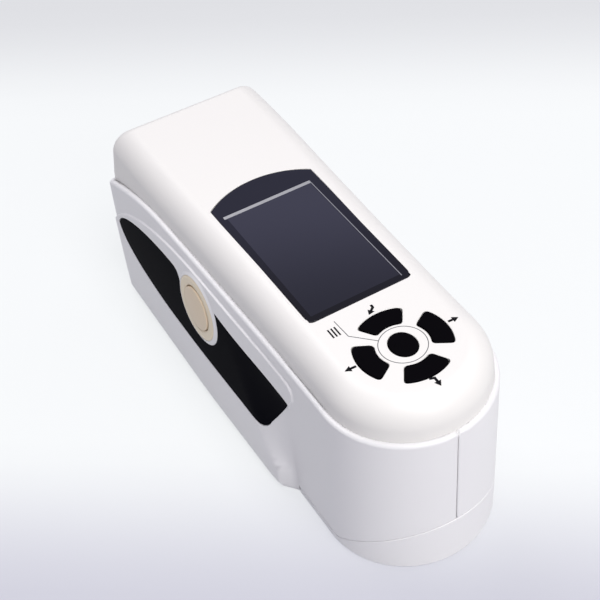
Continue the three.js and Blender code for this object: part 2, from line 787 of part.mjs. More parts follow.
function buildShells() {
  const half = overallLength / 2;
  const outer = join(bodySolid(), common(bodySolid(0, gripRiseAt), panelPrism()));
  const middleZ = between(footBandHeight, partingHeight, 0.5);
  const cavity = innerLoft(-wall, [lipThickness, footBandHeight, middleZ, partingHeight + overrun]);
  const rearSlot = rearOpening(0, rearX - overrun, rearX + wall + overrun);
  const hollow = cut(
    outer,
    cavity,
    baseOpening(footLip, -overrun, lipThickness + overrun),
    capRegion(clear, gripEndX + clear),
    rearSlot,
  );
  const rimmed = common(hollow, underCurve(partingZ, -overrun));
  const inlayBed = common(
    cut(bodySolid(overrun), bodySolid(-inlayThickness - clear, gripRiseAt)),
    inlayPrism(0),
  );
  const recessed = cut(rimmed, inlayBed, mirroredY(inlayBed));
  const leftSide = block(-half, half, -half, -clear / 2, -overrun, overallHeight);
  const rightSide = block(-half, half, clear / 2, half, -overrun, overallHeight);

  let left = common(recessed, leftSide);
  left = join(left, moved(cylinder(bossRadius, -wall, bossRise, 0, 0, fineSteps), buttonPlace));
  const seatZ = -ringDepth - clear;
  left = cut(
    left,
    moved(cylinder(ringOuterRadius + clear / 2, seatZ, bossRise + overrun, 0, 0, fineSteps), buttonPlace),
    moved(cylinder(buttonBoreRadius, -wall - overrun, 0, 0, 0, roundSteps), buttonPlace),
  );
  for (const side of [-1, 1]) {
    const post = cylinder(switchPostRadius, switchBoardTop() + clear, -wall, side * switchPostReach, 0);
    left = join(left, moved(post, buttonPlace));
  }
  let right = common(recessed, rightSide);
  for (const { x, z } of screwPlaces) {
    const reach = sideHalf(x, z) - 0.8 * wall;
    left = join(left, acrossCylinder(sideBossRadius, -reach, -clear, x, z));
    left = cut(left, acrossCylinder(sideBossBore, -sideScrewReach - overrun, overrun, x, z));
    right = join(right, acrossCylinder(sideBossRadius, clear, reach, x, z));
    right = cut(
      right,
      acrossCylinder(sideBossBore, -overrun, half, x, z),
      acrossCylinder(sideScrewHeadRadius + clear, sideHeadY(x, z), half, x, z),
    );
  }
  addMesh('left_shell', left, sideWhite);
  addMesh('right_shell', right, sideWhite);

  const inlaySkin = cut(bodySolid(-clear / 3, gripRiseAt), bodySolid(-inlayThickness, gripRiseAt));
  const inlay = common(inlaySkin, inlayPrism(clear));
  const notch = moved(
    cylinder(bossRadius + clear, -wall - overrun, bossRise + overrun, 0, 0, fineSteps),
    buttonPlace,
  );
  addMesh('left_inlay', cut(inlay, notch), inlayBlack);
  addMesh('right_inlay', mirroredY(inlay), inlayBlack);
}

function panelPrism() {
  return sidePrism(gripOutline(), -overallLength / 2, overallLength / 2);
}

function inlayPrism(inset) {
  return sidePrism(insetOutline(inlayOutline(), inset), -overallLength / 2, 0);
}

// Underside of the side screws' heads, sunk into the right shell's face
function sideHeadY(x, z) {
  return sideHalf(x, z) - wall - sideScrewHeadHeight;
}

function buildSideScrews() {
  screwPlaces.forEach(({ x, z }, i) => {
    const seat = sideHeadY(x, z) + clear;
    const head = acrossCylinder(sideScrewHeadRadius, seat, seat + sideScrewHeadHeight, x, z);
    const shank = acrossCylinder(sideScrewShankRadius, -sideScrewReach, seat + clear, x, z);
    addMesh(`side_screw_${i + 1}`, join(head, shank), steel);
  });
}

// Rear sockets

function rearOpening(inset, x0, x1) {
  const shape = rectangle(
    -rearPanelHalfWidth + inset, rearPanelHalfWidth - inset,
    rearPanelLowZ + inset, rearPanelLowZ + rearPanelHeight - inset, rearPanelRadius - inset,
  );
  const upright = new THREE.Matrix4().makeBasis(
    new THREE.Vector3(0, 1, 0), new THREE.Vector3(0, 0, 1), new THREE.Vector3(1, 0, 0),
  );
  return moved(prism(shape, x0, x1, keySteps), upright);
}

function buildRearPanel() {
  const faceX = rearX + rearPanelDepth;
  const backX = faceX + rearPanelThickness;
  const middleZ = rearPanelLowZ + rearPanelHeight / 2;
  let panel = rearOpening(clear, faceX, backX);
  // a flange behind the shells' wall keeps the panel in
  panel = join(panel, block(
    rearX + wall + clear, rearX + wall + clear + rearPanelThickness,
    -rearPanelHalfWidth - overrun, rearPanelHalfWidth + overrun,
    rearPanelLowZ + clear, rearPanelLowZ + rearPanelHeight - clear,
  ), rearOpening(clear, faceX, rearX + wall + clear + rearPanelThickness / 2));
  const innerX = rearX + wall + clear + rearPanelThickness;
  const slot = (y, width, height) => block(
    faceX - overrun, innerX + overrun,
    y - width / 2, y + width / 2,
    middleZ - height / 2, middleZ + height / 2,
  );
  panel = cut(
    panel,
    slot(usbY, usbWidth + 2 * clear, usbHeight + 2 * clear),
    alongCylinder(dcBoreRadius + clear, faceX - overrun, innerX + overrun, dcY, middleZ, roundSteps),
    slot(powerY, powerSlotWidth, powerSlotHeight),
  );
  addMesh('rear_panel', panel, innerBlack);

  const boardTop = middleZ - dcBodyHeight / 2 - clear;
  const boardX = innerX + clear;
  const board = block(
    boardX, boardX + rearBoardDepth, -rearPanelHalfWidth + overrun, rearPanelHalfWidth - overrun,
    boardTop - boardThickness, boardTop,
  );
  addMesh('rear_board', board, boardGreen);

  const usbFront = faceX + clear;
  const usb = block(
    usbFront, boardX + usbDepth, usbY - usbWidth / 2, usbY + usbWidth / 2,
    middleZ - usbHeight / 2, middleZ + usbHeight / 2,
  );
  const usbHollow = block(
    usbFront - overrun, boardX + usbDepth - overrun,
    usbY - usbWidth / 2 + usbShell, usbY + usbWidth / 2 - usbShell,
    middleZ - usbHeight / 2 + usbShell, middleZ + usbHeight / 2 - usbShell,
  );
  const tongue = block(
    usbFront + overrun, boardX + usbDepth - usbShell, usbY - usbWidth / 4, usbY + usbWidth / 4,
    middleZ - usbTongue / 2, middleZ + usbTongue / 2,
  );
  const usbFoot = block(
    boardX + clear, boardX + usbDepth, usbY - usbWidth / 2, usbY + usbWidth / 2,
    boardTop + clear, middleZ,
  );
  addMesh('usb_socket', join(cut(join(usb, usbFoot), usbHollow), tongue), tinPlate);

  const dcBackX = boardX + dcDepth;
  const dcBody = block(
    boardX, dcBackX, dcY - dcBodyWidth / 2, dcY + dcBodyWidth / 2,
    boardTop + clear, middleZ + dcBodyHeight / 2,
  );
  const dcSleeve = alongCylinder(dcBoreRadius + clear / 3, faceX, boardX + clear, dcY, middleZ, roundSteps);
  const dcBore = alongCylinder(dcBoreRadius - clear, faceX - overrun, dcBackX - overrun, dcY, middleZ);
  const dcPin = alongCylinder(dcPinRadius, faceX + overrun, dcBackX - overrun / 2, dcY, middleZ);
  addMesh('dc_socket', join(cut(join(dcBody, dcSleeve), dcBore), dcPin), chipBlack);

  const switchX = innerX + clear;
  const body = block(
    switchX, switchX + powerBodyDepth, powerY - powerBodyWidth / 2, powerY + powerBodyWidth / 2,
    boardTop + clear, middleZ + powerBodyHeight / 2,
  );
  const channel = block(
    switchX - overrun, switchX + powerBodyDepth / 2,
    powerY - powerSlotWidth / 2, powerY + powerSlotWidth / 2,
    middleZ - powerSlotHeight / 2, middleZ + powerSlotHeight / 2,
  );
  addMesh('power_switch_body', cut(body, channel), tinPlate);
  const knobY = powerY - powerTravel / 2;
  const knob = block(
    faceX - powerKnobRise, switchX + powerBodyDepth / 2 - clear,
    knobY - powerKnobWidth / 2, knobY + powerKnobWidth / 2,
    middleZ - powerSlotHeight / 2 + clear, middleZ + powerSlotHeight / 2 - clear,
  );
  addMesh('power_slider', knob, keyBlack);
}

// Test button

function switchBoardTop() {
  return -ringDepth - 2 * clear - buttonFlangeThickness - buttonStemLength - buttonTravel
    - testPlungerHeight - testSwitchHeight - 2 * clear;
}

function buildTestButton() {
  const place = new THREE.Group();
  place.applyMatrix4(buttonPlace);
  colorimeter.add(place);
  const edge = ringRise / 3;
  addMesh('button_ring', turned([
    [ringInnerRadius, -ringDepth],
    [ringOuterRadius, -ringDepth],
    [ringOuterRadius, ringRise - 2 * edge],
    [ringOuterRadius - edge, ringRise - edge],
    [(ringOuterRadius + ringInnerRadius) / 2, ringRise],
    [ringInnerRadius + edge, ringRise - edge],
    [ringInnerRadius, ringRise - 2 * edge],
  ], fineSteps), gold, place);

  const flangeTop = -ringDepth - clear;
  const flangeLow = flangeTop - buttonFlangeThickness;
  addMesh('test_button', turned([
    [0, flangeLow - buttonStemLength],
    [buttonStemRadius, flangeLow - buttonStemLength],
    [buttonStemRadius, flangeLow],
    [buttonFlangeRadius, flangeLow],
    [buttonFlangeRadius, flangeTop],
    [buttonRadius, flangeTop],
    [buttonRadius, buttonRise - buttonDome - edge],
    [buttonRadius - edge, buttonRise - buttonDome],
    [buttonRadius / 2, buttonRise - buttonDome / 4],
    [0, buttonRise],
  ], fineSteps), gold, place);

  const boardTop = switchBoardTop();
  const switchLow = boardTop + clear;
  const housing = block(
    -testSwitchSide / 2, testSwitchSide / 2, -testSwitchSide / 2, testSwitchSide / 2,
    switchLow, switchLow + testSwitchHeight,
  );
  const plunger = cylinder(
    testPlungerRadius, switchLow, switchLow + testSwitchHeight + testPlungerHeight,
  );
  addMesh('test_switch', join(housing, plunger), chipBlack, place);
  addMesh('switch_board', block(
    -switchBoardLength / 2, switchBoardLength / 2, -switchBoardWidth / 2, switchBoardWidth / 2,
    boardTop - boardThickness, boardTop,
  ), boardGreen, place);
}

// Top cover with its window and keys

function lensShape(grow) {
  const shape = new THREE.Shape();
  const rearX0 = lensRearX - grow;
  const frontX0 = lensFrontX + grow;
  const rearHalf = lensRearHalfWidth + grow;
  const frontHalf = lensFrontHalfWidth + grow;
  const radius = (rearHalf * rearHalf + lensRearArc * lensRearArc) / (2 * lensRearArc);
  const sweep = Math.asin(rearHalf / radius);
  shape.moveTo(rearX0, -rearHalf);
  shape.lineTo(frontX0 - lensCorner, -frontHalf);
  shape.absarc(frontX0 - lensCorner, lensCorner - frontHalf, lensCorner, -Math.PI / 2, 0);
  shape.absarc(frontX0 - lensCorner, frontHalf - lensCorner, lensCorner, 0, Math.PI / 2);
  shape.lineTo(rearX0, rearHalf);
  shape.absarc(rearX0 - lensRearArc + radius, 0, radius, Math.PI - sweep, Math.PI + sweep);
  return shape;
}

// A key's outline: a piece of a ring about the pad's centre, facing one direction
function keyShape(facing, grow) {
  const inner = keyInnerRadius - grow;
  const outer = keyOuterRadius + grow;
  const middle = (inner + outer) / 2;
  const half = keyHalfAngle * deg + grow / middle;
  const corner = keyCorner + grow / 2;
  const shape = new THREE.Shape();
  const at = (radius, angle) => [
    padX + radius * Math.cos(facing + angle), radius * Math.sin(facing + angle),
  ];
  const innerTurn = corner / inner;
  const outerTurn = corner / outer;
  shape.moveTo(...at(outer, outerTurn - half));
  shape.absarc(padX, 0, outer, facing - half + outerTurn, facing + half - outerTurn);
  shape.quadraticCurveTo(...at(outer, half), ...at(outer - corner, half));
  shape.lineTo(...at(inner + corner, half));
  shape.quadraticCurveTo(...at(inner, half), ...at(inner, half - innerTurn));
  shape.absarc(padX, 0, inner, facing + half - innerTurn, facing - half + innerTurn, true);
  shape.quadraticCurveTo(...at(inner, -half), ...at(inner + corner, -half));
  shape.lineTo(...at(outer - corner, -half));
  shape.quadraticCurveTo(...at(outer, -half), ...at(outer, outerTurn - half));
  return shape;
}

function centreKeyShape(grow) {
  const shape = new THREE.Shape();
  shape.absellipse(padX, 0, centreKeyHalfLength + grow, centreKeyHalfWidth + grow, 0, 2 * Math.PI);
  return shape;
}

const keys = [
  { name: 'key_rear', facing: Math.PI, steps: keySteps },
  { name: 'key_right', facing: Math.PI / 2, steps: keySteps },
  { name: 'key_front', facing: 0, steps: keySteps },
  { name: 'key_left', facing: -Math.PI / 2, steps: keySteps },
  { name: 'key_centre', facing: null, steps: ovalSteps },
];

function keyPrism(key, grow, z0, z1) {
  const shape = key.facing === null ? centreKeyShape(grow) : keyShape(key.facing, grow);
  return prism(shape, z0, z1, key.steps);
}

const underCover = overallHeight - coverWall;
const keyLowZ = underCover - clear - keyFlangeThickness;
const matTopZ = keyLowZ - keyTravel - matPlungerHeight - clear;
const keyBoardTopZ = matTopZ - matThickness - domeHeight - 2 * clear;

// Where a key presses, on the middle of its face
function keyPress(facing) {
  if (facing === null) return new THREE.Vector2(padX, 0);
  const middle = (keyInnerRadius + keyOuterRadius) / 2;
  return new THREE.Vector2(padX + middle * Math.cos(facing), middle * Math.sin(facing));
}

const keyPostPlaces = [1, 3, 5, 7].map((eighth) => new THREE.Vector2(
  padX + keyPostReach * Math.cos((eighth * Math.PI) / 4),
  keyPostReach * Math.sin((eighth * Math.PI) / 4),
));

const displaySeatZ = underCover - gasketThickness - 2 * clear;
const displayLowZ = displaySeatZ - displayThickness;
const trayLowZ = displayLowZ - clear - trayThickness;
const trayMargin = displayMargin + clear + trayThickness;
const lugX = [between(displayRearX, displayFrontX, 0.1), between(displayRearX, displayFrontX, 0.9)];

// Feet of the display's tray and the lugs of the cover above them
function lugBlocks(grow, z0, z1) {
  const innerY = displayHalfWidth + trayMargin - grow;
  return lugX.flatMap((x) => [-1, 1].map((side) => block(
    x - lugLength / 2, x + lugLength / 2,
    Math.min(side * innerY, side * lugReachY), Math.max(side * innerY, side * lugReachY), z0, z1,
  )));
}

function buildCover() {
  let cover = coverSolid(0, overallHeight, partingHeight - partingDrop - skirtDepth - overrun, filletSteps);
  cover = cut(
    cover,
    coverSolid(coverWall, underCover, partingHeight - partingDrop - skirtDepth - 2 * overrun, innerSteps),
    underCurve((x) => partingZ(x) - skirtDepth, 0),
    prism(lensShape(lensGap), overallHeight - lensThickness - lensGap, overallHeight + overrun, keySteps),
    block(
      displayRearX, displayFrontX, -displayHalfWidth, displayHalfWidth,
      underCover - overrun, overallHeight + overrun,
    ),
  );
  for (const key of keys) {
    cover = cut(cover, keyPrism(key, keyGap, underCover - overrun, overallHeight + overrun));
  }
  const postTopZ = underCover + coverWall / 2;
  const postBore = screwShankRadius + clear / 2;
  for (const { x, y } of keyPostPlaces) {
    cover = join(cover, cylinder(boardPostRadius, keyBoardTopZ + clear, postTopZ, x, y));
    cover = cut(cover, cylinder(postBore, keyBoardTopZ - overrun, underCover, x, y));
  }
  const lugZ = trayLowZ + trayThickness + clear;
  cover = join(cover, ...lugBlocks(-2 * clear, lugZ, lugZ + lugDepth));
  addMesh('top_cover', cover, shellWhite);

  const lens = prism(lensShape(0), overallHeight - lensThickness, overallHeight, keySteps);
  addMesh('screen_lens', lens, lensDark);

  const gasketTop = underCover - clear;
  const around = (margin) => rectangle(
    displayRearX - margin, displayFrontX + margin, -displayHalfWidth - margin, displayHalfWidth + margin,
    keyCorner,
  );
  addMesh('display_gasket', cut(
    prism(around(gasketWidth), gasketTop - gasketThickness, gasketTop, keySteps),
    prism(around(clear), gasketTop - gasketThickness - overrun, gasketTop + overrun, keySteps),
  ), siliconeGrey);
  addMesh('display_panel', prism(around(displayMargin), displayLowZ, displaySeatZ, keySteps), lensDark);

  // a pressed tray holds the display from below, with feet under the cover's lugs
  const tray = cut(
    prism(around(trayMargin), trayLowZ, trayLowZ + trayDepth, keySteps),
    prism(around(displayMargin + clear), trayLowZ + trayThickness, trayLowZ + trayDepth + overrun, keySteps),
  );
  const feet = lugBlocks(trayThickness, trayLowZ, trayLowZ + trayThickness);
  addMesh('display_tray', join(tray, ...feet), tinPlate);
}

function buildKeypad() {
  for (const key of keys) {
    const shape = key.facing === null ? centreKeyShape(0) : keyShape(key.facing, 0);
    const top = roundedPrism(
      shape, underCover - clear - 2 * keyEdge, overallHeight + keyRise, keyEdge, key.steps,
    );
    const flange = keyPrism(key, keyFlange, keyLowZ, underCover - clear);
    addMesh(key.name, join(top, flange), keyBlack);
  }

  let mat = cylinder(matRadius, matTopZ - matThickness, matTopZ, padX, 0, roundSteps);
  for (const place of keyPostPlaces) {
    mat = cut(mat, cylinder(
      boardPostRadius + clear, matTopZ - matThickness - overrun, matTopZ + overrun, place.x, place.y,
    ));
  }
  for (const key of keys) {
    const press = keyPress(key.facing);
    mat = join(mat, cylinder(
      matPlungerRadius, matTopZ - clear, matTopZ + matPlungerHeight, press.x, press.y,
    ));
  }
  addMesh('keypad_mat', mat, siliconeGrey);

  let board = cylinder(keyBoardRadius, keyBoardTopZ - boardThickness, keyBoardTopZ, padX, 0, roundSteps);
  for (const place of keyPostPlaces) {
    board = cut(board, cylinder(
      screwShankRadius + clear / 2, keyBoardTopZ - boardThickness - overrun, keyBoardTopZ + overrun,
      place.x, place.y,
    ));
  }
  addMesh('key_board', board, boardGreen);
  let sheet = cylinder(
    matRadius, keyBoardTopZ + clear, keyBoardTopZ + clear + sheetThickness, padX, 0, roundSteps,
  );
  for (const place of keyPostPlaces) {
    sheet = cut(sheet, cylinder(
      boardPostRadius + clear, keyBoardTopZ, keyBoardTopZ + domeHeight + clear, place.x, place.y,
    ));
  }
  for (const key of keys) {
    const press = keyPress(key.facing);
    sheet = join(sheet, shifted(turned([
      [0, 0], [domeRadius, 0], [domeRadius / 2, domeHeight], [0, domeHeight],
    ], smallSteps), press.x, press.y, keyBoardTopZ + clear));
  }
  addMesh('dome_sheet', sheet, steel);
  keyPostPlaces.forEach((place, i) => {
    const headTop = keyBoardTopZ - boardThickness - clear;
    const head = cylinder(screwHeadRadius, headTop - screwHeadHeight, headTop, place.x, place.y);
    const shank = cylinder(screwShankRadius, headTop - clear, underCover - clear - overrun, place.x, place.y);
    addMesh(`key_board_screw_${i + 1}`, join(head, shank), steel);
  });
}

// Base plate, battery and its door

const doorX = [packRearX - doorMargin, packFrontX + doorMargin];
const doorHalfWidth = packHalfWidth + doorMargin;
const tongueX = [0.1, 0.5, 0.9].map((share) => between(doorX[0], doorX[1] - tongueLength, share));

function buildBase() {
  let plate = join(
    baseOpening(footLip + clear, 0, plateTopZ - plateFlangeThickness / 2),
    baseOpening(footLip - plateFlange, plateTopZ - plateFlangeThickness, plateTopZ),
  );
  const openEnd = doorTravel + clear;
  const grooveTop = doorThickness + clear;
  const grooveY = doorHalfWidth + tongueReach + clear;
  plate = cut(
    plate,
    block(
      doorX[0] - openEnd, doorX[1] + clear, -doorHalfWidth - clear, doorHalfWidth + clear,
      -overrun, grooveTop,
    ),
    block(
      packRearX - clear, packFrontX + clear, -packHalfWidth - clear, packHalfWidth + clear,
      0, plateTopZ + overrun,
    ),
  );
  let door = block(doorX[0], doorX[1], -doorHalfWidth, doorHalfWidth, 0, doorThickness);
  for (const x of tongueX) {
    const tongueZ = doorThickness - tongueThickness;
    plate = cut(
      plate,
      block(x - openEnd, x + tongueLength + clear, -grooveY, grooveY, tongueZ - clear, grooveTop),
      block(x - openEnd, x - openEnd + tongueLength + 2 * clear, -grooveY, grooveY, -overrun, grooveTop),
    );
    door = join(door, block(
      x, x + tongueLength, -doorHalfWidth - tongueReach, doorHalfWidth + tongueReach, tongueZ, doorThickness,
    ));
  }
  for (let i = 0; i < 5; i += 1) {
    const x = doorX[0] + doorMargin + i * 2 * doorGripWidth;
    door = cut(door, block(
      x, x + doorGripWidth, -doorHalfWidth / 2, doorHalfWidth / 2, -overrun, doorGripDepth,
    ));
  }
  addMesh('base_plate', plate, innerBlack);
  addMesh('battery_door', door, innerBlack);

  // two cells side by side in one shrink sleeve, which bridges the groove between them
  const cells = [-1, 1].map((side) => alongCylinder(
    cellRadius + packWrap, packRearX, packFrontX, (side * cellPitch) / 2, packMiddleZ, roundSteps,
  ));
  const bridge = block(
    packRearX, packFrontX, -cellPitch / 2, cellPitch / 2,
    packMiddleZ - cellRadius, packMiddleZ + cellRadius,
  );
  addMesh('battery_pack', join(...cells, bridge), cellBlue);
  const plateAt = (x) => block(
    x, x + contactThickness, -cellPitch / 2 - contactWidth / 2, cellPitch / 2 + contactWidth / 2,
    plateTopZ + clear, plateTopZ + clear + contactHeight,
  );
  addMesh('contact_front', plateAt(packFrontX + clear), tinPlate);
  addMesh('contact_rear', plateAt(packRearX - clear - contactThickness), tinPlate);
}

function buildChassis() {
  const deckLowZ = deckTopZ - deckThickness;
  const legLowZ = plateTopZ + clear;
  const wallY = packHalfWidth + clear;
  const bayRearX = packRearX - bayEnd;
  const bayFrontX = packFrontX + bayEnd;
  let chassis = block(deckRearX, deckFrontX, -deckHalfWidth, deckHalfWidth, deckLowZ, deckTopZ);
  for (const side of [-1, 1]) {
    chassis = join(chassis, block(
      bayRearX - bayWall, bayFrontX + bayWall,
      Math.min(side * wallY, side * (wallY + bayWall)), Math.max(side * wallY, side * (wallY + bayWall)),
      legLowZ, deckTopZ,
    ));
    const legX = screwX[0] - sideBossRadius - 2 * clear - deckPostRadius;
    chassis = join(chassis, cylinder(
      deckPostRadius, legLowZ, deckTopZ, legX, side * (deckHalfWidth - 2 * deckPostInset),
    ));
    for (const x of [mainBoardRearX + deckPostInset, deckFrontX - 2 * deckPostInset]) {
      chassis = join(chassis, cylinder(
        deckPostRadius, deckTopZ - clear, deckTopZ + deckPostHeight,
        x, side * (mainBoardHalfWidth - deckPostInset),
      ));
    }
  }
  chassis = join(
    chassis,
    block(bayRearX - bayWall, bayRearX, -wallY - clear, wallY + clear, legLowZ, deckTopZ),
    block(bayFrontX, bayFrontX + bayWall, -wallY - clear, wallY + clear, legLowZ, deckTopZ),
  );
  addMesh('chassis', chassis, innerBlack);

  const boardTop = mainBoardZ + boardThickness;
  const boardFrontX = deckFrontX - deckPostInset;
  addMesh('main_board', block(
    mainBoardRearX, boardFrontX, -mainBoardHalfWidth, mainBoardHalfWidth, mainBoardZ, boardTop,
  ), boardGreen);
  const onBoard = (name, x, y, length, width, height, finish) => {
    const seat = boardTop + clear;
    addMesh(name, block(
      x - length / 2, x + length / 2, y - width / 2, y + width / 2, seat, seat + height,
    ), finish);
  };
  const shieldX = mainBoardRearX + componentGap + shieldLength / 2;
  const chipX = shieldX + shieldLength / 2 + componentGap + chipSide / 2;
  const connectorX = boardFrontX - componentGap - connectorWidth / 2;
  onBoard('shield_can', shieldX, 0, shieldLength, shieldWidth, shieldHeight, tinPlate);
  onBoard('processor', chipX, 0, chipSide, chipSide, chipHeight, chipBlack);
  onBoard('board_connector', connectorX, 0, connectorWidth, connectorLength, connectorHeight, innerWhite);
  const buzzerY = mainBoardHalfWidth - buzzerRadius - clear;
  const buzzerTop = boardTop + clear + buzzerHeight;
  addMesh('buzzer', cut(
    cylinder(buzzerRadius, boardTop + clear, buzzerTop, chipX, buzzerY),
    cylinder(buzzerHole, buzzerTop - overrun, buzzerTop + overrun, chipX, buzzerY),
  ), chipBlack);
}

// Calibration cap, and the nose base that it covers

const noseBaseLowZ = capFloor + clear;

function noseLoft(inset, lowZ) {
  const highZ = capLine(overallLength / 2) + noseBaseOverlap + overrun;
  return innerLoft(-inset, [lowZ, footBandHeight, highZ]);
}

function buildNose() {
  const backX = gripEndX + 2 * clear;
  let cap = common(bodySolid(), capRegion(0, backX));
  cap = cut(
    cap,
    noseLoft(wall, capFloor),
    cylinder(
      tileRadius + clear, capFloor - tileThickness - clear, capFloor + overrun, noseBaseX, 0, roundSteps,
    ),
  );
  addMesh('calibration_cap', cap, sideWhite);
  addMesh('white_tile', cylinder(
    tileRadius, capFloor - tileThickness, capFloor, noseBaseX, 0, roundSteps,
  ), tileWhite);

  const noseBaseRearX = gripEndX - noseBaseLap;
  const rearWall = block(
    noseBaseRearX, overallLength / 2, -footHalfWidth, footHalfWidth, noseBaseLowZ, overallHeight,
  );
  const frontWall = block(
    noseBaseRearX - overrun, overallLength / 2, -footHalfWidth, footHalfWidth,
    noseBaseLowZ + noseBaseFloor, overallHeight,
  );
  const hollow = common(noseLoft(wall + clear + noseBaseWall, noseBaseLowZ), frontWall);
  let base = common(
    noseLoft(wall + clear, noseBaseLowZ), rearWall, capRegion(noseBaseOverlap, noseBaseRearX - overrun),
  );
  base = cut(
    base, hollow,
    cylinder(apertureNeckRadius + clear, 0, footBandHeight, noseBaseX, 0, roundSteps),
  );
  for (const side of [-1, 1]) {
    const y = side * headScrewReach;
    base = join(base, cylinder(headBossRadius, noseBaseLowZ + clear, headLowZ - clear, noseBaseX, y));
    base = cut(base, cylinder(
      screwShankRadius + clear / 2, noseBaseLowZ + noseBaseFloor / 2, headLowZ, noseBaseX, y,
    ));
  }
  addMesh('nose_base', base, innerBlack);
}

// Measuring head: a sphere in a split block over the aperture, lamps and a sensor on top

const apertureSeatZ = noseBaseLowZ + noseBaseFloor + clear;
const headLowZ = apertureSeatZ + apertureFlangeThickness + clear;
const sphereZ = headLowZ + headFloor + sphereRadius;
const headTopZ = sphereZ + sphereRadius + headRoof;

function onHead(solid) {
  return shifted(solid, noseBaseX, 0, 0);
}

function sphereProfile(z, fromAngle, toAngle) {
  const points = [];
  for (let i = 0; i <= sphereSteps; i += 1) {
    const angle = between(fromAngle, toAngle, i / sphereSteps);
    points.push([sphereRadius * Math.cos(angle), z + sphereRadius * Math.sin(angle)]);
  }
  return points;
}

function buildHead() {
  const ring = turned([
    [apertureRadius, noseBaseLowZ],
    [apertureNeckRadius, noseBaseLowZ],
    [apertureNeckRadius, apertureSeatZ],
    [apertureFlangeRadius, apertureSeatZ],
    [apertureFlangeRadius, apertureSeatZ + apertureFlangeThickness],
    [windowRadius + clear, apertureSeatZ + apertureFlangeThickness],
    [windowRadius + clear, apertureSeatZ + apertureFlangeThickness - windowThickness - clear],
    [apertureRadius, apertureSeatZ + apertureFlangeThickness - windowThickness - clear],
  ]);
  addMesh('aperture_ring', onHead(ring), aluminium);
  const glassTop = apertureSeatZ + apertureFlangeThickness;
  addMesh('aperture_glass', cylinder(
    windowRadius, glassTop - windowThickness, glassTop, noseBaseX, 0, roundSteps,
  ), glassClear);

  const portAngle = Math.acos(windowRadius / sphereRadius);
  let lower = turned([
    [windowRadius, headLowZ],
    [headFlangeRadius, headLowZ],
    [headFlangeRadius, headLowZ + headFlangeThickness],
    [headRadius, headLowZ + headFlangeThickness],
    [headRadius, sphereZ - clear / 2],
    ...sphereProfile(sphereZ - clear / 2, 0, -portAngle),
  ]);
  let upper = turned([
    ...sphereProfile(sphereZ + clear / 2, Math.PI / 2, 0),
    [headRadius, sphereZ + clear / 2],
    [headRadius, headTopZ],
    [0, headTopZ],
  ]);
  lower = onHead(lower);
  upper = onHead(upper);
  const tilt = new THREE.Matrix4().makeTranslation(noseBaseX, 0, noseBaseLowZ)
    .multiply(new THREE.Matrix4().makeRotationY(-sensorTilt * deg));
  const seat = (headTopZ - noseBaseLowZ) / Math.cos(sensorTilt * deg) - sensorSeatDepth;
  upper = cut(
    upper,
    moved(cylinder(sensorTubeRadius + 2 * clear, seat - clear, seat + 2 * sensorSeatDepth), tilt),
    moved(cylinder(sensorTubeBore, seat - sphereRadius, seat), tilt),
  );
  const lampBoardZ = headTopZ + clear;
  let lampBoard = cut(
    cylinder(lampBoardOuter, lampBoardZ, lampBoardZ + boardThickness, noseBaseX, 0, roundSteps),
    cylinder(lampBoardInner, lampBoardZ - overrun, lampBoardZ + overrun, noseBaseX, 0, roundSteps),
  );
  for (const third of [1, 3, 5]) {
    const angle = (third * Math.PI) / 3;
    const x = noseBaseX + lampReach * Math.cos(angle);
    const y = lampReach * Math.sin(angle);
    upper = cut(upper, cylinder(lampRadius + clear, sphereZ - overrun, headTopZ + overrun, x, y));
    lampBoard = join(lampBoard, cylinder(lampRadius, headTopZ - lampLength, lampBoardZ + clear, x, y));
  }
  for (const side of [-1, 1]) {
    lower = cut(lower, cylinder(
      screwShankRadius + clear / 2, headLowZ - overrun, headLowZ + headFlangeThickness + overrun,
      noseBaseX, side * headScrewReach,
    ));
  }
  addMesh('head_lower', lower, innerWhite);
  addMesh('head_upper', upper, innerWhite);
  addMesh('lamp_board', lampBoard, boardGreen);
  [-1, 1].forEach((side, i) => {
    const seatZ = headLowZ + headFlangeThickness + clear;
    const y = side * headScrewReach;
    addMesh(`head_screw_${i + 1}`, join(
      cylinder(headScrewHeadRadius, seatZ, seatZ + screwHeadHeight, noseBaseX, y),
      cylinder(screwShankRadius, noseBaseLowZ + noseBaseFloor / 2 + clear, seatZ + clear, noseBaseX, y),
    ), steel);
  });

  const tubeTop = seat + sensorTubeLength;
  const lensTop = tubeTop - clear;
  addMesh('sensor_tube', moved(turned([
    [sensorTubeBore, seat],
    [sensorTubeRadius, seat],
    [sensorTubeRadius, tubeTop],
    [sensorLensRadius + clear, tubeTop],
    [sensorLensRadius + clear, lensTop - sensorLensThickness - clear],
    [sensorTubeBore, lensTop - sensorLensThickness - clear],
  ]), tilt), innerBlack);
  addMesh('sensor_lens', moved(
    cylinder(sensorLensRadius, lensTop - sensorLensThickness, lensTop, 0, 0, roundSteps), tilt,
  ), glassClear);
  const side = sensorBoardSide / 2;
  addMesh('sensor_board', moved(
    block(-side, side, -side, side, tubeTop + clear, tubeTop + clear + boardThickness), tilt,
  ), boardGreen);
}

buildShells();
buildSideScrews();
buildRearPanel();
buildTestButton();
buildCover();
buildKeypad();
buildBase();
buildChassis();
buildNose();
buildHead();

export default colorimeter;
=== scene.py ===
import json
import math

import bpy
import numpy as np
from mathutils import Matrix, Vector
from mathutils.geometry import delaunay_2d_cdt
from mathutils.kdtree import KDTree


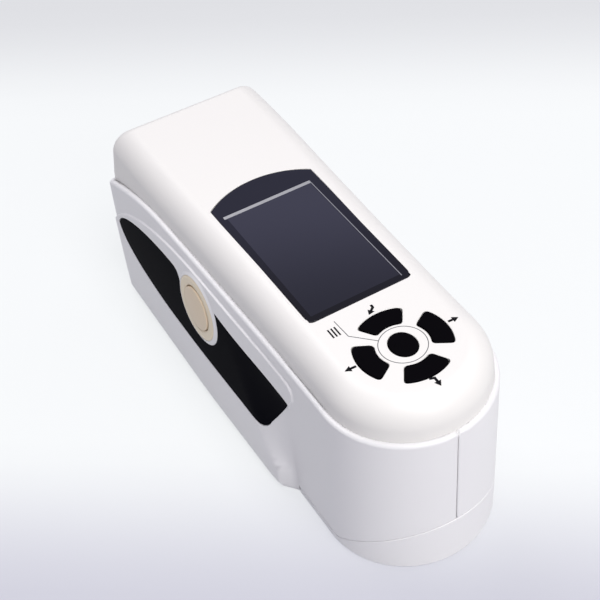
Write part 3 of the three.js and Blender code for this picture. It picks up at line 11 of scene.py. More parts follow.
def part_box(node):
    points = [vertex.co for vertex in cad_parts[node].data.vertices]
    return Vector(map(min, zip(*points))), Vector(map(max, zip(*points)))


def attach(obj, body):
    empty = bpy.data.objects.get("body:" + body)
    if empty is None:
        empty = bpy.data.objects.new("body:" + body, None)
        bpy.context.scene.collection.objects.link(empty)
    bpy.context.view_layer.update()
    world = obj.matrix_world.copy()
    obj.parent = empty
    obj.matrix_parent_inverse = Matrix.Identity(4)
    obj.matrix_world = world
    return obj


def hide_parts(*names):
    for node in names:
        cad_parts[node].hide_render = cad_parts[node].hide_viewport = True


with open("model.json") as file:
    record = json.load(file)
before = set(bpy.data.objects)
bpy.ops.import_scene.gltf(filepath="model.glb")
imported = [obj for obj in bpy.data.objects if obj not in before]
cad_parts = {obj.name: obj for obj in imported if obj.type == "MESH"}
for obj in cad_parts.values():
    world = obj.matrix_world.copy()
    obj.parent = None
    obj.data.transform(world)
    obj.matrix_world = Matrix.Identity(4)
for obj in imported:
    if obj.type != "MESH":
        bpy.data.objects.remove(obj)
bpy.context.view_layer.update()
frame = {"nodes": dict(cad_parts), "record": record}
print("frame is in")

# Lengths are in millimetres up to the meshes, which are in metres
mm = 0.001
quarter = math.pi / 2

# the lower body, the cover's plan and the parting line; the ledge is narrower than the part's
body = dict(
    length=205, height=85.5, parting=71.3, partingDrop=11, partingRun=54, ledge=1.9,
    noseRadius=32, noseBaseRadius=33, noseLean=2.9, rearHalf=38, footHalf=39.8, footFrontHalf=38.4,
    footBand=12, footFillet=4, noseFillet=1, rearCorner=5, gripEnd=43.5, footFade=6, rimFade=52,
    taper=1.6, flare=0.85, fade=0.8, gap=0.3, baseLip=8,
)
rearX = -body["length"] / 2
noseX = body["length"] / 2 - body["noseRadius"]
gripMiddle = (rearX + body["gripEnd"]) / 2
noseBaseX = noseX - body["noseLean"] - (body["noseBaseRadius"] - body["noseRadius"])


# small sums on arrays
def clamp(value, low=0.0, high=1.0):
    return np.minimum(np.maximum(value, low), high)


def ease(share):
    s = clamp(share)
    return s * s * (3 - 2 * s)


def between(a, b, share):
    return a + (b - a) * share


def unit(vectors):
    return vectors / np.maximum(np.linalg.norm(vectors, axis=-1, keepdims=True), 1e-12)


def dot(a, b):
    return (a * b).sum(-1, keepdims=True)


# outlines in two directions
def arc(cx, cy, radius, start, end, count=12):
    angles = np.linspace(start, end, count)
    return np.stack([cx + radius * np.cos(angles), cy + radius * np.sin(angles)], 1)


def circle(cx, cy, radius, count):
    return arc(cx, cy, radius, 0, 2 * math.pi, count + 1)[:-1]


def bend(p, q, r, count=8):
    t = np.linspace(0, 1, count)[:, None]
    return (1 - t) ** 2 * np.array(p) + 2 * t * (1 - t) * np.array(q) + t * t * np.array(r)


def sweep(p, q, r, s, count=24):
    t = np.linspace(0, 1, count)[:, None]
    return ((1 - t) ** 3 * np.array(p) + 3 * t * (1 - t) ** 2 * np.array(q)
            + 3 * t * t * (1 - t) * np.array(r) + t ** 3 * np.array(s))


def chain(*parts):  # joins stretches to one closed outline
    points = np.concatenate([np.atleast_2d(np.array(part, float)) for part in parts])
    return points[np.linalg.norm(points - np.roll(points, 1, 0), axis=1) > 1e-4]


def wound(points, clockwise=False):
    x, y = points[:, 0], points[:, 1]
    area = (x * np.roll(y, -1) - np.roll(x, -1) * y).sum()
    return points[::-1] if (area < 0) != clockwise else points


def spaced(points, step, closed=True):  # splits sides that are longer than step
    out = []
    ends = np.roll(points, -1, 0) if closed else points[1:]
    for a, b in zip(points, ends):
        count = max(int(math.ceil(np.linalg.norm(b - a) / step)), 1)
        out += [a + (b - a) * i / count for i in range(count)]
    return np.array(out if closed else out + [points[-1]])


def grown(points, distance):  # moves a closed outline outwards
    points = wound(points)
    before, after = unit(points - np.roll(points, 1, 0)), unit(np.roll(points, -1, 0) - points)
    first, second = (np.stack([d[:, 1], -d[:, 0]], 1) for d in (before, after))
    return points + distance * (first + second) / np.maximum(1 + dot(first, second), 0.35)


def inside(points, loops):
    odd = np.zeros(len(points), bool)
    px, py = points[:, 0][:, None], points[:, 1][:, None]
    for loop in loops:
        a, b = loop, np.roll(loop, -1, 0)
        rise = np.where(np.abs(b[:, 1] - a[:, 1]) < 1e-12, 1e-12, b[:, 1] - a[:, 1])
        crosses = (a[:, 1] > py) != (b[:, 1] > py)
        at = a[:, 0] + (py - a[:, 1]) * (b[:, 0] - a[:, 0]) / rise
        odd ^= ((crosses & (px < at)).sum(1) % 2).astype(bool)
    return odd


def depthIn(points, loop):  # distance to an outline, positive inside it
    a, b = loop, np.roll(loop, -1, 0)
    span = b - a
    best = np.full(len(points), 1e9)
    for start, along in zip(a, span):
        t = clamp(((points - start) @ along) / (along @ along + 1e-12))
        best = np.minimum(best, np.linalg.norm(points - start - t[:, None] * along, axis=1))
    return np.where(inside(points, [loop]), best, -best)


# surfaces
class Build:  # gathers the patches, edges and turned parts of one piece
    def __init__(self):
        self.points, self.normals, self.faces, self.slots, self.count = [], [], [], [], 0

    def add(self, points, normals, faces, slot=0):
        faces = np.array(faces, int)
        corners = points[faces[:, :3]]
        lie = np.cross(corners[:, 1] - corners[:, 0], corners[:, 2] - corners[:, 0])
        wrong = (lie * normals[faces].mean(1)).sum(1) < 0
        faces[wrong] = faces[wrong][:, ::-1]
        self.points.append(points)
        self.normals.append(unit(normals))
        self.faces += [tuple(f) for f in (faces + self.count).tolist()]
        self.slots += [slot] * len(faces)
        self.count += len(points)

    def patch(self, loops, grid, place, lines=(), slotAt=None, room=0.5):
        verts, edges = [], []
        for run, gaps in [(loop, 0) for loop in loops] + [(line, 1) for line in lines]:
            first, count = len(verts), len(run)
            edges += [(first + i, first + (i + 1) % count) for i in range(count - gaps)]
            verts += run.tolist()
        tree = KDTree(len(verts))
        for i, v in enumerate(verts):
            tree.insert((v[0], v[1], 0), i)
        tree.balance()
        grid = grid[inside(grid, loops)]
        verts += [p for p in grid.tolist() if tree.find((p[0], p[1], 0))[2] > room]
        found = delaunay_2d_cdt([Vector(v) for v in verts], edges, [], 0, 1e-6)
        flat = np.array([v[:] for v in found[0]])
        faces = np.array([f[:] for f in found[2]])
        middles = flat[faces].mean(1)
        a, b = flat[faces[:, 1]] - flat[faces[:, 0]], flat[faces[:, 2]] - flat[faces[:, 0]]
        area = np.abs(a[:, 0] * b[:, 1] - a[:, 1] * b[:, 0])
        faces = faces[inside(middles, loops) & (area > 1e-7)]
        points, normals = place(flat[:, 0], flat[:, 1])
        if slotAt is None:
            self.add(points, normals, faces)
            return
        kinds = slotAt(flat[faces].mean(1))
        for kind in np.unique(kinds):
            self.add(points, normals, faces[kinds == kind], int(kind))

    def edge(self, loop, place, rows, closed=True, swell=0.0):  # swell widens the rounding, per point
        points, normals = place(loop[:, 0], loop[:, 1])
        ahead = unit(np.roll(points, -1, 0) - points)
        back = np.roll(ahead, 1, 0)
        if not closed:
            ahead[-1], back[0] = ahead[-2], ahead[0]
        first, second = np.cross(back, normals), np.cross(ahead, normals)
        out = (first + second) / np.maximum(1 + dot(first, second), 0.4)
        swell = np.zeros((len(loop), 1)) + np.reshape(swell, (-1, 1))
        # true up to the end of the first rounding
        bent = [nn > 0 or i and rows[i - 1][3] > 0 for i, (t, n, nt, nn) in enumerate(rows)]
        made = []
        for (t, n, nt, nn), early in zip(rows, bent):
            aside = t + swell * (nt if early else 1)
            down = n + swell * (1 - nn) * early
            made.append((points + aside * out - down * normals, nt * unit(out) + nn * normals))
        self.rows(made, closed)

    def rows(self, rows, closed=True):  # quads between rows of points
        count = len(rows[0][0])
        i = np.arange(count if closed else count - 1)
        j = (i + 1) % count
        faces = []
        for first in range(0, (len(rows) - 1) * count, count):
            faces.append(np.stack([first + i, first + j, first + count + j, first + count + i], 1))
        points, normals = (np.concatenate(part) for part in zip(*rows))
        self.add(points, normals, np.concatenate(faces))

    def turn(self, corners, matrix, count=144):  # corners: (radius, height, rounding)
        angles = np.arange(count) * 2 * np.pi / count
        c, s = np.cos(angles), np.sin(angles)
        rows, turn = [], matrix[:3, :3].T
        for r, z, nr, nz in rounded(corners):
            r = max(r, 1e-4)
            p = np.stack([r * c, r * s, np.full(count, z)], 1)
            n = np.stack([nr * c, nr * s, np.full(count, nz)], 1)
            rows.append((p @ turn + matrix[:3, 3], n @ turn))
        self.rows(rows)

    def mirrored(self):  # to the other side of the middle plane
        flip = np.array([1, -1, 1])
        self.points, self.normals = [p * flip for p in self.points], [n * flip for n in self.normals]
        self.faces = [f[::-1] for f in self.faces]
        return self


bendSteps, edgeSteps = 6, 5  # facets of a rounding in a turned part and along an edge


def rounded(corners):  # a profile of (across, up, rounding) as rows with their normals
    corners = [tuple(c) + (0,) * (3 - len(c)) for c in corners]
    p = np.array([c[:2] for c in corners], float)
    rows = []
    for i, (x, z, radius) in enumerate(corners):
        ahead = unit(p[i + 1] - p[i]) if i + 1 < len(p) else None
        behind = unit(p[i] - p[i - 1]) if i else ahead
        ahead = behind if ahead is None else ahead
        n1, n2 = np.array([behind[1], -behind[0]]), np.array([ahead[1], -ahead[0]])
        turn = math.acos(float(clamp(behind @ ahead, -1, 1)))
        if not radius or turn < 1e-3:
            rows.append((x, z, *n1))
            if turn > 1e-3:
                rows.append((x, z, *n2))
            continue
        cut = radius * math.tan(turn / 2)
        left = behind[0] * ahead[1] - behind[1] * ahead[0] > 0
        start = p[i] - cut * behind
        reach = radius if left else -radius
        centre = start - reach * n1
        for share in np.arange(bendSteps + 1) / bendSteps:
            if turn < 0.3:
                n = unit(between(n1, n2, share))
            else:
                n = unit(n1 * math.sin(turn * (1 - share)) + n2 * math.sin(turn * share))
            rows.append((*(centre + reach * n), *n))
    return rows


def roundEdge(radius, depth, inner=0.0, further=0.0):  # rows for Build.edge
    angles = np.linspace(0, quarter, edgeSteps + 1)
    turns = [(math.sin(a), math.cos(a)) for a in angles]
    rows = [(radius * s, radius * (1 - c), s, c) for s, c in turns]
    rows.append((radius, depth - inner, 1, 0))
    if further:
        rows += [(radius - inner * (1 - c), depth - inner + inner * s, c, -s) for s, c in turns]
        rows.append((radius - inner - further, depth, 0, -1))
    return rows


def flatAt(z, up=True):  # a level face; facing down, the second direction is -y
    side = 1 if up else -1
    return lambda u, v: (np.stack([u, side * v, np.full(len(u), float(z))], 1),
                         np.tile([0.0, 0.0, float(side)], (len(u), 1)))


def lattice(us, vs):
    u, v = np.meshgrid(us, vs)
    return np.stack([u.ravel(), v.ravel()], 1)


def steps(start, end, size):
    return np.linspace(start, end, max(int(round(abs(end - start) / size)), 1) + 1)


def runs(start, *stretches):  # steps on from start, each stretch an (end, size)
    parts = [np.array([start], float)]
    for end, size in stretches:
        parts.append(steps(parts[-1][-1], end, size)[1:])
    return np.concatenate(parts)


def newObject(name, data):
    made = bpy.data.objects.new(name, data)
    bpy.context.scene.collection.objects.link(made)
    return made


def makePiece(name, build, rider, replaced, slot, looks=None):
    mesh = bpy.data.meshes.new(name)
    mesh.from_pydata((np.concatenate(build.points) * mm).tolist(), [], build.faces)
    mesh.polygons.foreach_set("use_smooth", [True] * len(build.faces))
    mesh.polygons.foreach_set("material_index", build.slots)
    mesh.normals_split_custom_set_from_vertices(np.concatenate(build.normals).tolist())
    mesh.update()
    for look in looks or [slotFinish[slot]]:
        mesh.materials.append(look)
    piece = newObject(name, mesh)
    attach(piece, rider)
    if replaced:
        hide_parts(replaced)


# form of the lower body
def partingZ(x):
    share = clamp((rearX + body["partingRun"] - x) / body["partingRun"], 0, 2)
    return body["parting"] - body["partingDrop"] * share ** 2


def depthShare(z, floor=0.0):
    return clamp((body["parting"] - z) / (body["parting"] - floor))


def rimHalf(x):
    rearward = clamp((noseX - x) / (noseX - rearX))
    return body["noseRadius"] + (body["rearHalf"] - body["noseRadius"]) * rearward ** body["taper"]


def filletInset(z, radius):
    rise = clamp((radius - z) / radius)
    return radius * (1 - np.sqrt(1 - rise * rise))


def gripShare(x, z):
    up = clamp((z - body["footBand"]) / (body["parting"] - body["footBand"]))
    run = between(body["footFade"], body["rimFade"], up ** body["fade"])
    return 1 - ease((x - body["gripEnd"] + run) / run)


def sideHalf(x, z):
    frontward = ease((x - gripMiddle) / (body["gripEnd"] - gripMiddle))
    foot = between(body["footHalf"], body["footFrontHalf"], frontward)
    plain = rimHalf(x) + (body["noseBaseRadius"] - body["noseRadius"]) * depthShare(z)
    full = np.maximum(foot - plain, 0) * depthShare(z, body["footBand"]) ** body["flare"]
    grip = gripShare(x, z)
    return plain + full * grip - filletInset(z, between(body["noseFillet"], body["footFillet"], grip))


# s runs from the nose tip round the side to the middle of the rear wall, w up the side;
# below w = lowW the surface lies level on the base and runs inwards
noseRun, sideRun, cornerRun, rearRun = 50.27, 168.0, 7.85, 34.0
cornerS = noseRun + sideRun
rearS = cornerS + cornerRun
wholeS = rearS + rearRun
lowW = body["footFillet"] * (1 - quarter)


def heightOf(w):
    r = body["footFillet"]
    return np.where(w > r, w, r * (1 - np.sin(clamp((r - w) / r, 0, quarter))))


def levelOf(z):
    r = body["footFillet"]
    return np.where(z > r, z, r - r * np.arcsin(clamp(1 - z / r)))


def planAt(z, grow):
    below = depthShare(z)
    radius = between(body["noseRadius"], body["noseBaseRadius"], below)
    radius = radius - filletInset(z, body["noseFillet"]) + grow
    backX = rearX + filletInset(z, body["footFillet"]) - grow
    corner = np.maximum(body["rearCorner"] + grow, 1)
    return radius, noseX - (noseX - noseBaseX) * below, backX, corner, backX + corner


def alongOf(x, z, grow=0.0):  # s of a place in side view
    radius, centreX, backX, corner, cornerX = planAt(z, grow)
    side = noseRun + sideRun * (centreX - x) / (centreX - cornerX)
    nose = noseRun * np.arccos(clamp((x - centreX) / radius)) / quarter
    turn = cornerS + cornerRun * np.arcsin(clamp((cornerX - x) / corner)) / quarter
    return np.where(x > centreX, nose, np.where(x < cornerX, turn, side))


def rearAlong(y, z):  # s of a place on the rear wall
    radius, centreX, backX, corner, cornerX = planAt(z, 0.0)
    cornerY = sideHalf(cornerX, z) - (sideHalf(centreX, z) - radius) - corner
    return rearS + rearRun * (1 - y / cornerY)


def roundPlan(s, z, plan, halfAt):  # nose, side, corner and rear wall in one run of s
    side, s = np.where(s < 0, -1.0, 1.0), np.abs(s)
    radius, centreX, backX, corner, cornerX = plan
    angle = clamp(s / noseRun) * quarter
    turn = clamp((s - cornerS) / cornerRun) * quarter
    straightX = between(centreX, cornerX, (s - noseRun) / sideRun)
    cornerY = halfAt(cornerX) - corner
    kinds = [s < noseRun, s < cornerS, s < rearS]
    xs = [centreX + radius * np.cos(angle), straightX, cornerX - corner * np.sin(turn)]
    ys = [radius * np.sin(angle), halfAt(straightX), cornerY + corner * np.cos(turn)]
    y = np.select(kinds, ys, cornerY * (1 - (s - rearS) / rearRun))
    return np.stack([np.select(kinds, xs, backX), side * y, z], -1)


def skinPoint(s, w, grow=0.0):
    z = heightOf(w)
    grow = grow + np.minimum(w - lowW, 0)
    plan = planAt(z, grow)
    settle = sideHalf(plan[1], z) + grow - plan[0]
    return roundPlan(s, z, plan, lambda x: sideHalf(x, z) + grow - settle)


# grip panel and inlay, in side view
panel = dict(
    rise=0.8, leastRise=0.15, low=-2.0, top=66.9, frontTop=64.7, frontX=49.6, frontRadius=4.2, crownX=-22,
    rearFall=31.5, past=2, edge=1.0, slope=0.6, fadeLength=15.5, fadeHeight=7, fadeMargin=2.4,
)
inlay = dict(
    low=26.4, high=58.2, tipX=-94.2, tipZ=43.8, frontX=44.8, frontZ=52.2, toeX=30.4, toeRadius=5.5,
    corner=4.6, shoulderTurn=0.36, thickness=1.2, sunk=0.1, edge=0.22, bedEdge=0.42, bedDepth=1.5,
)
button = dict(
    x=-19.2, z=50.7, boss=15.4, bossFoot=0.3, bossFlank=1.5, bossRise=0.45, bossInner=13.0, bossStep=0.25,
    overlap=1, ringOuter=13.6, ringInner=9.5, ringRise=0.7, ringDepth=2.0, ringGap=0.1,
    radius=9.2, rise=1.5, dome=0.5, domeSteps=7,
    flange=10.6, flangeTop=-2.3, flangeFoot=-3.7, stem=2.5, foot=-6.0,
)


def panelOutline():
    low, top, front, radius = panel["low"], panel["top"], panel["frontX"], panel["frontRadius"]
    crownX, frontTop, fall = panel["crownX"], panel["frontTop"], panel["rearFall"]
    backX = rearX - panel["past"]
    return chain(
        [(backX, low), (body["gripEnd"] + body["gap"], low),
         (inlay["frontX"] + panel["edge"], inlay["frontZ"]), (front - 0.5, frontTop - 1.8 * radius)],
        arc(front - radius, frontTop - radius, radius, 0, quarter - 0.06, 10),
        sweep((front - radius - 1, frontTop + 0.04), (between(crownX, front, 0.7), frontTop + 0.8),
              (between(crownX, front, 0.35), top), (crownX, top), 20),
        sweep((crownX, top), (between(rearX, crownX, 0.5), top),
              (between(rearX, crownX, 0.12), top - 0.35 * fall), (backX, top - fall), 28)[1:],
    )


def inlayOutline(notch=True, radius=0.0, over=False):
    tipX, tipZ, low, high = inlay["tipX"], inlay["tipZ"], inlay["low"], inlay["high"]
    toe, toeRadius, frontX, frontZ = inlay["toeX"], inlay["toeRadius"], inlay["frontX"], inlay["frontZ"]
    slope = unit(np.array([frontX - toe - toeRadius, frontZ - low]))
    lowRear = between(tipX, toe, 0.44)
    bx, bz, boss = button["x"], button["z"], button["boss"]
    shoulder = bx - boss - inlay["corner"]
    parts = [
        sweep((tipX, tipZ), (between(tipX, lowRear, 0.015), between(low, tipZ, 0.38)),
              (between(tipX, lowRear, 0.41), low), (lowRear, low)),
        bend((toe - toeRadius, low), (toe, low), (toe + toeRadius * slope[0], low + toeRadius * slope[1])),
        bend((frontX, frontZ), (between(bx, frontX, 0.65), between(frontZ, high, 0.6)),
             (bx + boss, high), 20),
    ]
    if notch:
        half = math.asin((high - bz) / radius)
        turn = half - inlay["shoulderTurn"]
        # over takes the bed and the hole under the boss in one
        end, count = (math.pi, 40) if over else (-math.pi, 56)
        parts.append(arc(bx, bz, radius, half, end - turn, count))
        parts.append(bend((bx - boss * math.cos(turn), bz + boss * math.sin(turn)),
                          (bx - boss - 0.3, high - 0.4), (shoulder, high), 9)[:-1])
    parts.append([(shoulder, high)])
    parts.append(sweep((shoulder, high), (between(tipX, shoulder, 0.6), high + body["gap"]),
                       (between(tipX, shoulder, 0.12), between(tipZ, high, 0.72)), (tipX, tipZ), 30)[1:-1])
    return chain(*parts)


panelLoop = panelOutline()


def panelRise(x, z):
    low = ease((inlay["frontZ"] + panel["fadeMargin"] - z) / panel["fadeHeight"])
    front = ease((x - body["gripEnd"] + panel["fadeLength"]) / panel["fadeLength"])
    share = 1 - low * front
    full = between(panel["leastRise"] * share, panel["rise"], share)
    depth = depthIn(np.stack([x, z], 1), panelLoop)
    return full * ease(depth / panel["slope"])


def onBody(grow=0.0, raised=True):  # places s and w on the body's skin
    def lifted(s, w, grow=0.0):
        p = skinPoint(s, w, grow)
        weight = np.where(p[:, 1] < 0, -1.0, 1.0) * (1 - clamp((np.abs(s) - rearS) / rearRun))
        return panelRise(p[:, 0], p[:, 2]) * weight

    def place(s, w):
        s, w = np.asarray(s, float), np.asarray(w, float)
        wideS, wideW = 0.9, np.where(w < 6, 0.08, 1.2)
        along = (skinPoint(s + wideS, w, grow) - skinPoint(s - wideS, w, grow)) / (2 * wideS)
        up = (skinPoint(s, w + wideW, grow) - skinPoint(s, w - wideW, grow)) / (2 * wideW)[:, None]
        points = skinPoint(s, w, grow)
        if raised:
            e = 0.05
            points[:, 1] += lifted(s, w, grow)
            along[:, 1] += (lifted(s + e, w) - lifted(s - e, w)) / (2 * e)
            up[:, 1] += (lifted(s, w + e) - lifted(s, w - e)) / (2 * e)
        return points, unit(np.cross(along, up))
    return place


def onSide(points):  # side view places to s and w
    return np.stack([alongOf(points[:, 0], points[:, 1]), levelOf(points[:, 1])], 1)


def buttonPlace():  # stands the button square to the left side
    x, z, reach = button["x"], button["z"], button["radius"]
    slopeX = (sideHalf(x + reach, z) - sideHalf(x - reach, z)) / (2 * reach)
    slopeZ = (sideHalf(x, z + reach) - sideHalf(x, z - reach)) / (2 * reach)
    outward = unit(np.array([-slopeX, -1, -slopeZ]))
    along = unit(np.array([1, -slopeX, 0]))
    matrix = np.eye(4)
    matrix[:3, 0], matrix[:3, 1], matrix[:3, 2] = along, np.cross(outward, along), outward
    matrix[:3, 3] = x, -(sideHalf(x, z) + panel["rise"]), z
    return matrix


# shader wiring
class Wire:  # a socket that takes part in sums
    def __init__(self, tree, socket=None):
        self.tree, self.socket = tree, socket

    def node(self, kind, values=None, settings=None, out=0):
        made = self.tree.nodes.new("ShaderNode" + kind)
        for key, value in (settings or {}).items():
            if key == "stops":
                ramp = made.color_ramp
                while len(ramp.elements) < len(value):
                    ramp.elements.new(0.5)
                for element, (place, tone) in zip(ramp.elements, value):
                    element.position = place
                    element.color = (*tone, 1)
            else:
                setattr(made, key, value)
        self.feed(made, values or {})
        return None if out is None else Wire(self.tree, made.outputs[out])

    def feed(self, node, values):
        for key, value in values.items():
            if isinstance(value, Wire):
                self.tree.links.new(value.socket, node.inputs[key])
            else:
                node.inputs[key].default_value = value

    def beside(self, key):  # another output of the same node
        return Wire(self.tree, self.socket.node.outputs[key])

    def math(self, operation, a, b):
        return self.node("Math", {0: a, 1: b}, {"operation": operation})

    def __add__(self, other):
        return self.math("ADD", self, other)

    __radd__ = __add__

    def __sub__(self, other):
        return self.math("SUBTRACT", self, other)

    def __mul__(self, other):
        return self.math("MULTIPLY", self, other)

    __rmul__ = __mul__

    def noise(self, scale, detail=2.0, rough=0.5, where=None):
        at = where or self.node("TexCoord", out="Object")
        return self.node("TexNoise", {"Vector": at, "Scale": scale, "Detail": detail, "Roughness": rough})

    def blend(self, share, first, second):
        return self.node("Mix", {0: share, 6: first, 7: second}, {"data_type": "RGBA"}, out=2)


def colour(*tone):  # from the 0 to 255 values seen in the picture to linear light
    return tuple(c / 12.92 if c <= 0.04045 else ((c + 0.055) / 1.055) ** 2.4 for c in np.array(tone) / 255)


def newFinish(name):
    material = bpy.data.materials.new(name)
    material.use_nodes = True
    tree = material.node_tree
    return material, Wire(tree), tree.nodes["Principled BSDF"]


# a moulded or painted surface: slow drift of the tone, fine grain in bump and gloss
def moulded(name, tone, roughness, grain, depth, drift, coat=0.0, metal=0.0, spread=0.08, specular=0.5):
    material, w, shader = newFinish(name)
    dark = tuple(c * (1 - drift) for c in tone)
    light = tuple(min(c * (1 + drift), 1) for c in tone)
    slow = w.noise(18.0, 3.0)
    fine = w.noise(grain, 2.0, 0.6)
    w.feed(shader, {
        "Base Color": w.blend(slow, (*dark, 1), (*light, 1)),
        "Roughness": roughness - spread / 2 + spread * fine,
        "Normal": w.node("Bump", {"Height": fine, "Strength": 0.35, "Distance": depth * 1e-6}),
        "Metallic": metal, "Coat Weight": coat, "Coat Roughness": 0.25, "Specular IOR Level": specular,
    })
    return material


# slot in the part, tone, roughness, grain, bump in micrometres, drift of the tone, what else is special
surfaces = dict(
    coverWhite=("cover_white", (0.86, 0.84, 0.808), 0.42, 900, 10, 0.006, dict(coat=0.05, spread=0.04)),
    # the shell's white is its own colour; its faint lilac cast is painted shade colour
    shellWhite=("shell_white", (0.885, 0.875, 0.88), 0.40, 900, 10, 0.006, dict(coat=0.08, spread=0.04)),
    inlayBlack=("inlay_black", (0.0034, 0.0034, 0.0060), 0.5, 1400, 15, 0.08, dict(specular=0.004)),
    keyBlack=("key_black", (0.0028, 0.0024, 0.0034), 0.6, 1600, 20, 0.1, dict(spread=0.1, specular=0.012)),
    ringGold=("gold", (0.86, 0.745, 0.55), 0.40, 1200, 10, 0.03, dict(metal=0.1)),
    buttonGold=("gold", (0.80, 0.655, 0.475), 0.42, 1200, 10, 0.03, dict(metal=0.1)),
    inkDark=("key_black", (0.008, 0.008, 0.010), 0.6, 1500, 10, 0.1, dict(specular=0.05)),
    inkGrey=("key_black", (0.11, 0.11, 0.12), 0.6, 1500, 10, 0.1, dict(specular=0.1)),
    innerBlack=("inner_black", (0.014, 0.014, 0.016), 0.55, 700, 40, 0.1, {}),
    innerWhite=("inner_white", (0.88, 0.88, 0.86), 0.7, 500, 20, 0.01, {}),
    siliconeGrey=("silicone", (0.22, 0.23, 0.25), 0.7, 500, 20, 0.05, {}),
    boardGreen=("board", (0.012, 0.09, 0.035), 0.4, 260, 40, 0.2, dict(coat=0.3)),
    chipBlack=("chip", (0.010, 0.010, 0.011), 0.5, 900, 30, 0.1, {}),
    tinPlate=("tin", (0.62, 0.63, 0.65), 0.3, 420, 10, 0.04, dict(metal=1.0, spread=0.15)),
    screwSteel=("screw_steel", (0.52, 0.53, 0.55), 0.32, 800, 10, 0.05, dict(metal=1.0, spread=0.12)),
    cellBlue=("cell_blue", (0.024, 0.078, 0.34), 0.34, 120, 20, 0.06, dict(coat=0.3)),
    tileWhite=("tile_white", (0.93, 0.93, 0.91), 0.16, 300, 5, 0.01, dict(coat=0.5, spread=0.04)),
    ringAluminium=("ring_aluminium", (0.66, 0.67, 0.68), 0.36, 700, 10, 0.04, dict(metal=1.0, spread=0.12)),
    barSilver=("window", (0.42, 0.42, 0.44), 0.3, 900, 10, 0.05, dict(metal=0.3)),
    lineSilver=("window", (0.30, 0.30, 0.33), 0.3, 900, 10, 0.05, dict(metal=0.2)),
)


def glassFinish():
    material, w, shader = newFinish("clearGlass")
    w.feed(shader, {"Base Color": (0.85, 0.9, 0.92, 1), "Transmission Weight": 0.9, "IOR": 1.5,
                    "Roughness": 0.03 + 0.04 * w.noise(60.0)})
    return material


def windowFinish(name, rear, front):
    # dark glass whose tone falls from the rear edge to the front and to the near side; this fall is a painted
    # reflection over the glass's own dark tone
    material, w, shader = newFinish(name)
    at = w.node("TexCoord", out="Object")
    x = w.node("SeparateXYZ", {0: at})
    fall = (x + 0.02) * 13.0 - x.beside("Y") * 6.0 + 0.05 * (w.noise(25.0, where=at) - 0.5)
    share = w.node("MapRange", {"Value": fall}, {"interpolation_type": "SMOOTHSTEP"})
    w.feed(shader, {
        "Base Color": w.blend(share, (*rear, 1), (*front, 1)),
        "Roughness": 0.09 + 0.03 * w.noise(700.0, where=at),
        "Coat Weight": 0.15, "Coat Roughness": 0.04, "Specular IOR Level": 0.25,
    })
    return material


finish, slotFinish = {}, {}  # by name, and by slot in the part
for name, (slot, *values, special) in surfaces.items():
    finish[name] = moulded(name, *values, **special)
    slotFinish.setdefault(slot, finish[name])
slotFinish["glass"] = glassFinish()
# both panes carry the painted reflection: lighter at the rear, darker at the front and near side
slotFinish["window"] = windowFinish("windowBorder", colour(38, 38, 50), colour(24, 23, 29))
slotFinish["display"] = windowFinish("windowField", colour(58, 58, 72), colour(36, 36, 46))
for part in frame["record"]["subparts"]:
    mesh = frame["nodes"][part["node"]].data
    mesh.materials.clear()
    mesh.materials.append(slotFinish[part["material_slot"]])
print("finishes are ready")


# side shells
shellEdge = dict(
    radius=0.5, wall=2.2, inner=0.7, lower=2.2, seamGap=0.15, swell=0.7, swellFrom=0.7, swellRun=4.0,
)
rearOpening = dict(half=24, low=27, high=42, corner=3.4)
screwHole = dict(radius=3.15, edge=0.25, depth=4.2)
cap = dict(
    floor=3.2, slope=0.67, edge=0.35, wall=2.0, wallEnd=1.0, inner=0.3, lower=0.6,
    tileRadius=14.3, tileEdge=0.2, tileDepth=2.0,
)


def capLine(x):
    return np.maximum(cap["floor"], cap["slope"] * (x - noseBaseX))


def noseLine(s, above, grow=0.0):  # w along the oblique line over the nose, for each s
    w = np.full(len(s), 10.0)
    for _ in range(12):
        w = levelOf(capLine(skinPoint(s, w, grow)[:, 0]) + above)
    return w


def rimLine(s, lower):
    w = np.full(len(s), 60.0)
    for _ in range(4):
        w = partingZ(skinPoint(s, w)[:, 0]) - lower
    return w


def rimSwell(s):  # fades out at both ends of the rim
    start, run = shellEdge["swellFrom"], shellEdge["swellRun"]
    return shellEdge["swell"] * ease((s - start) / run) * ease((wholeS - start - s) / run)


def shellLoop():
    r, seam = shellEdge["radius"], shellEdge["seamGap"] + shellEdge["radius"]
    stepX, plateX = body["gripEnd"] + body["gap"] - r, body["gripEnd"] - body["baseLip"]
    noseS = runs(seam, (noseRun, 1.2), (float(alongOf(stepX, 3.5)), 1.5))
    under = np.stack([noseS, noseLine(noseS, body["gap"] + r)], 1)
    half = float(skinPoint(alongOf(stepX, 0.0), lowW)[1])
    deepW, lipW = lowW - (half - seam), lowW - body["baseLip"] + r

    def at(x, w):
        return [float(alongOf(x, 0.0, grow=min(w - lowW, 0))), w]
    front = spaced(np.array([at(stepX, w) for w in (float(under[-1, 1]), lowW, deepW)]), 1.5, closed=False)
    inner = np.array([at(plateX + r, w) for w in steps(deepW, lipW, 1.5)])
    endS = float(rearAlong(seam, 10.0))
    lipS = steps(inner[-1][0], endS, 2.0)[1:]
    lip = np.stack([lipS, np.full(len(lipS), lipW)], 1)
    low, high, c = rearOpening["low"] - r, rearOpening["high"] + r, rearOpening["corner"]
    deepest = float(rearAlong(rearOpening["half"] + r, 34.0))
    opening = chain(
        [(endS, low), (deepest + c, low)], arc(deepest + c, low + c, c, -quarter, -math.pi, 8),
        arc(deepest + c, high - c, c, math.pi, quarter, 8), [(endS, high)],
    )
    topS = runs(endS, (rearS, 1.5), (cornerS, 0.8), (noseRun, 1.5), (seam, 1.2))
    rim = np.stack([topS, rimLine(topS, r) - rimSwell(topS)], 1)
    return spaced(chain(under, front, inner, lip, spaced(opening, 1.5, closed=False), rim), 2.0)


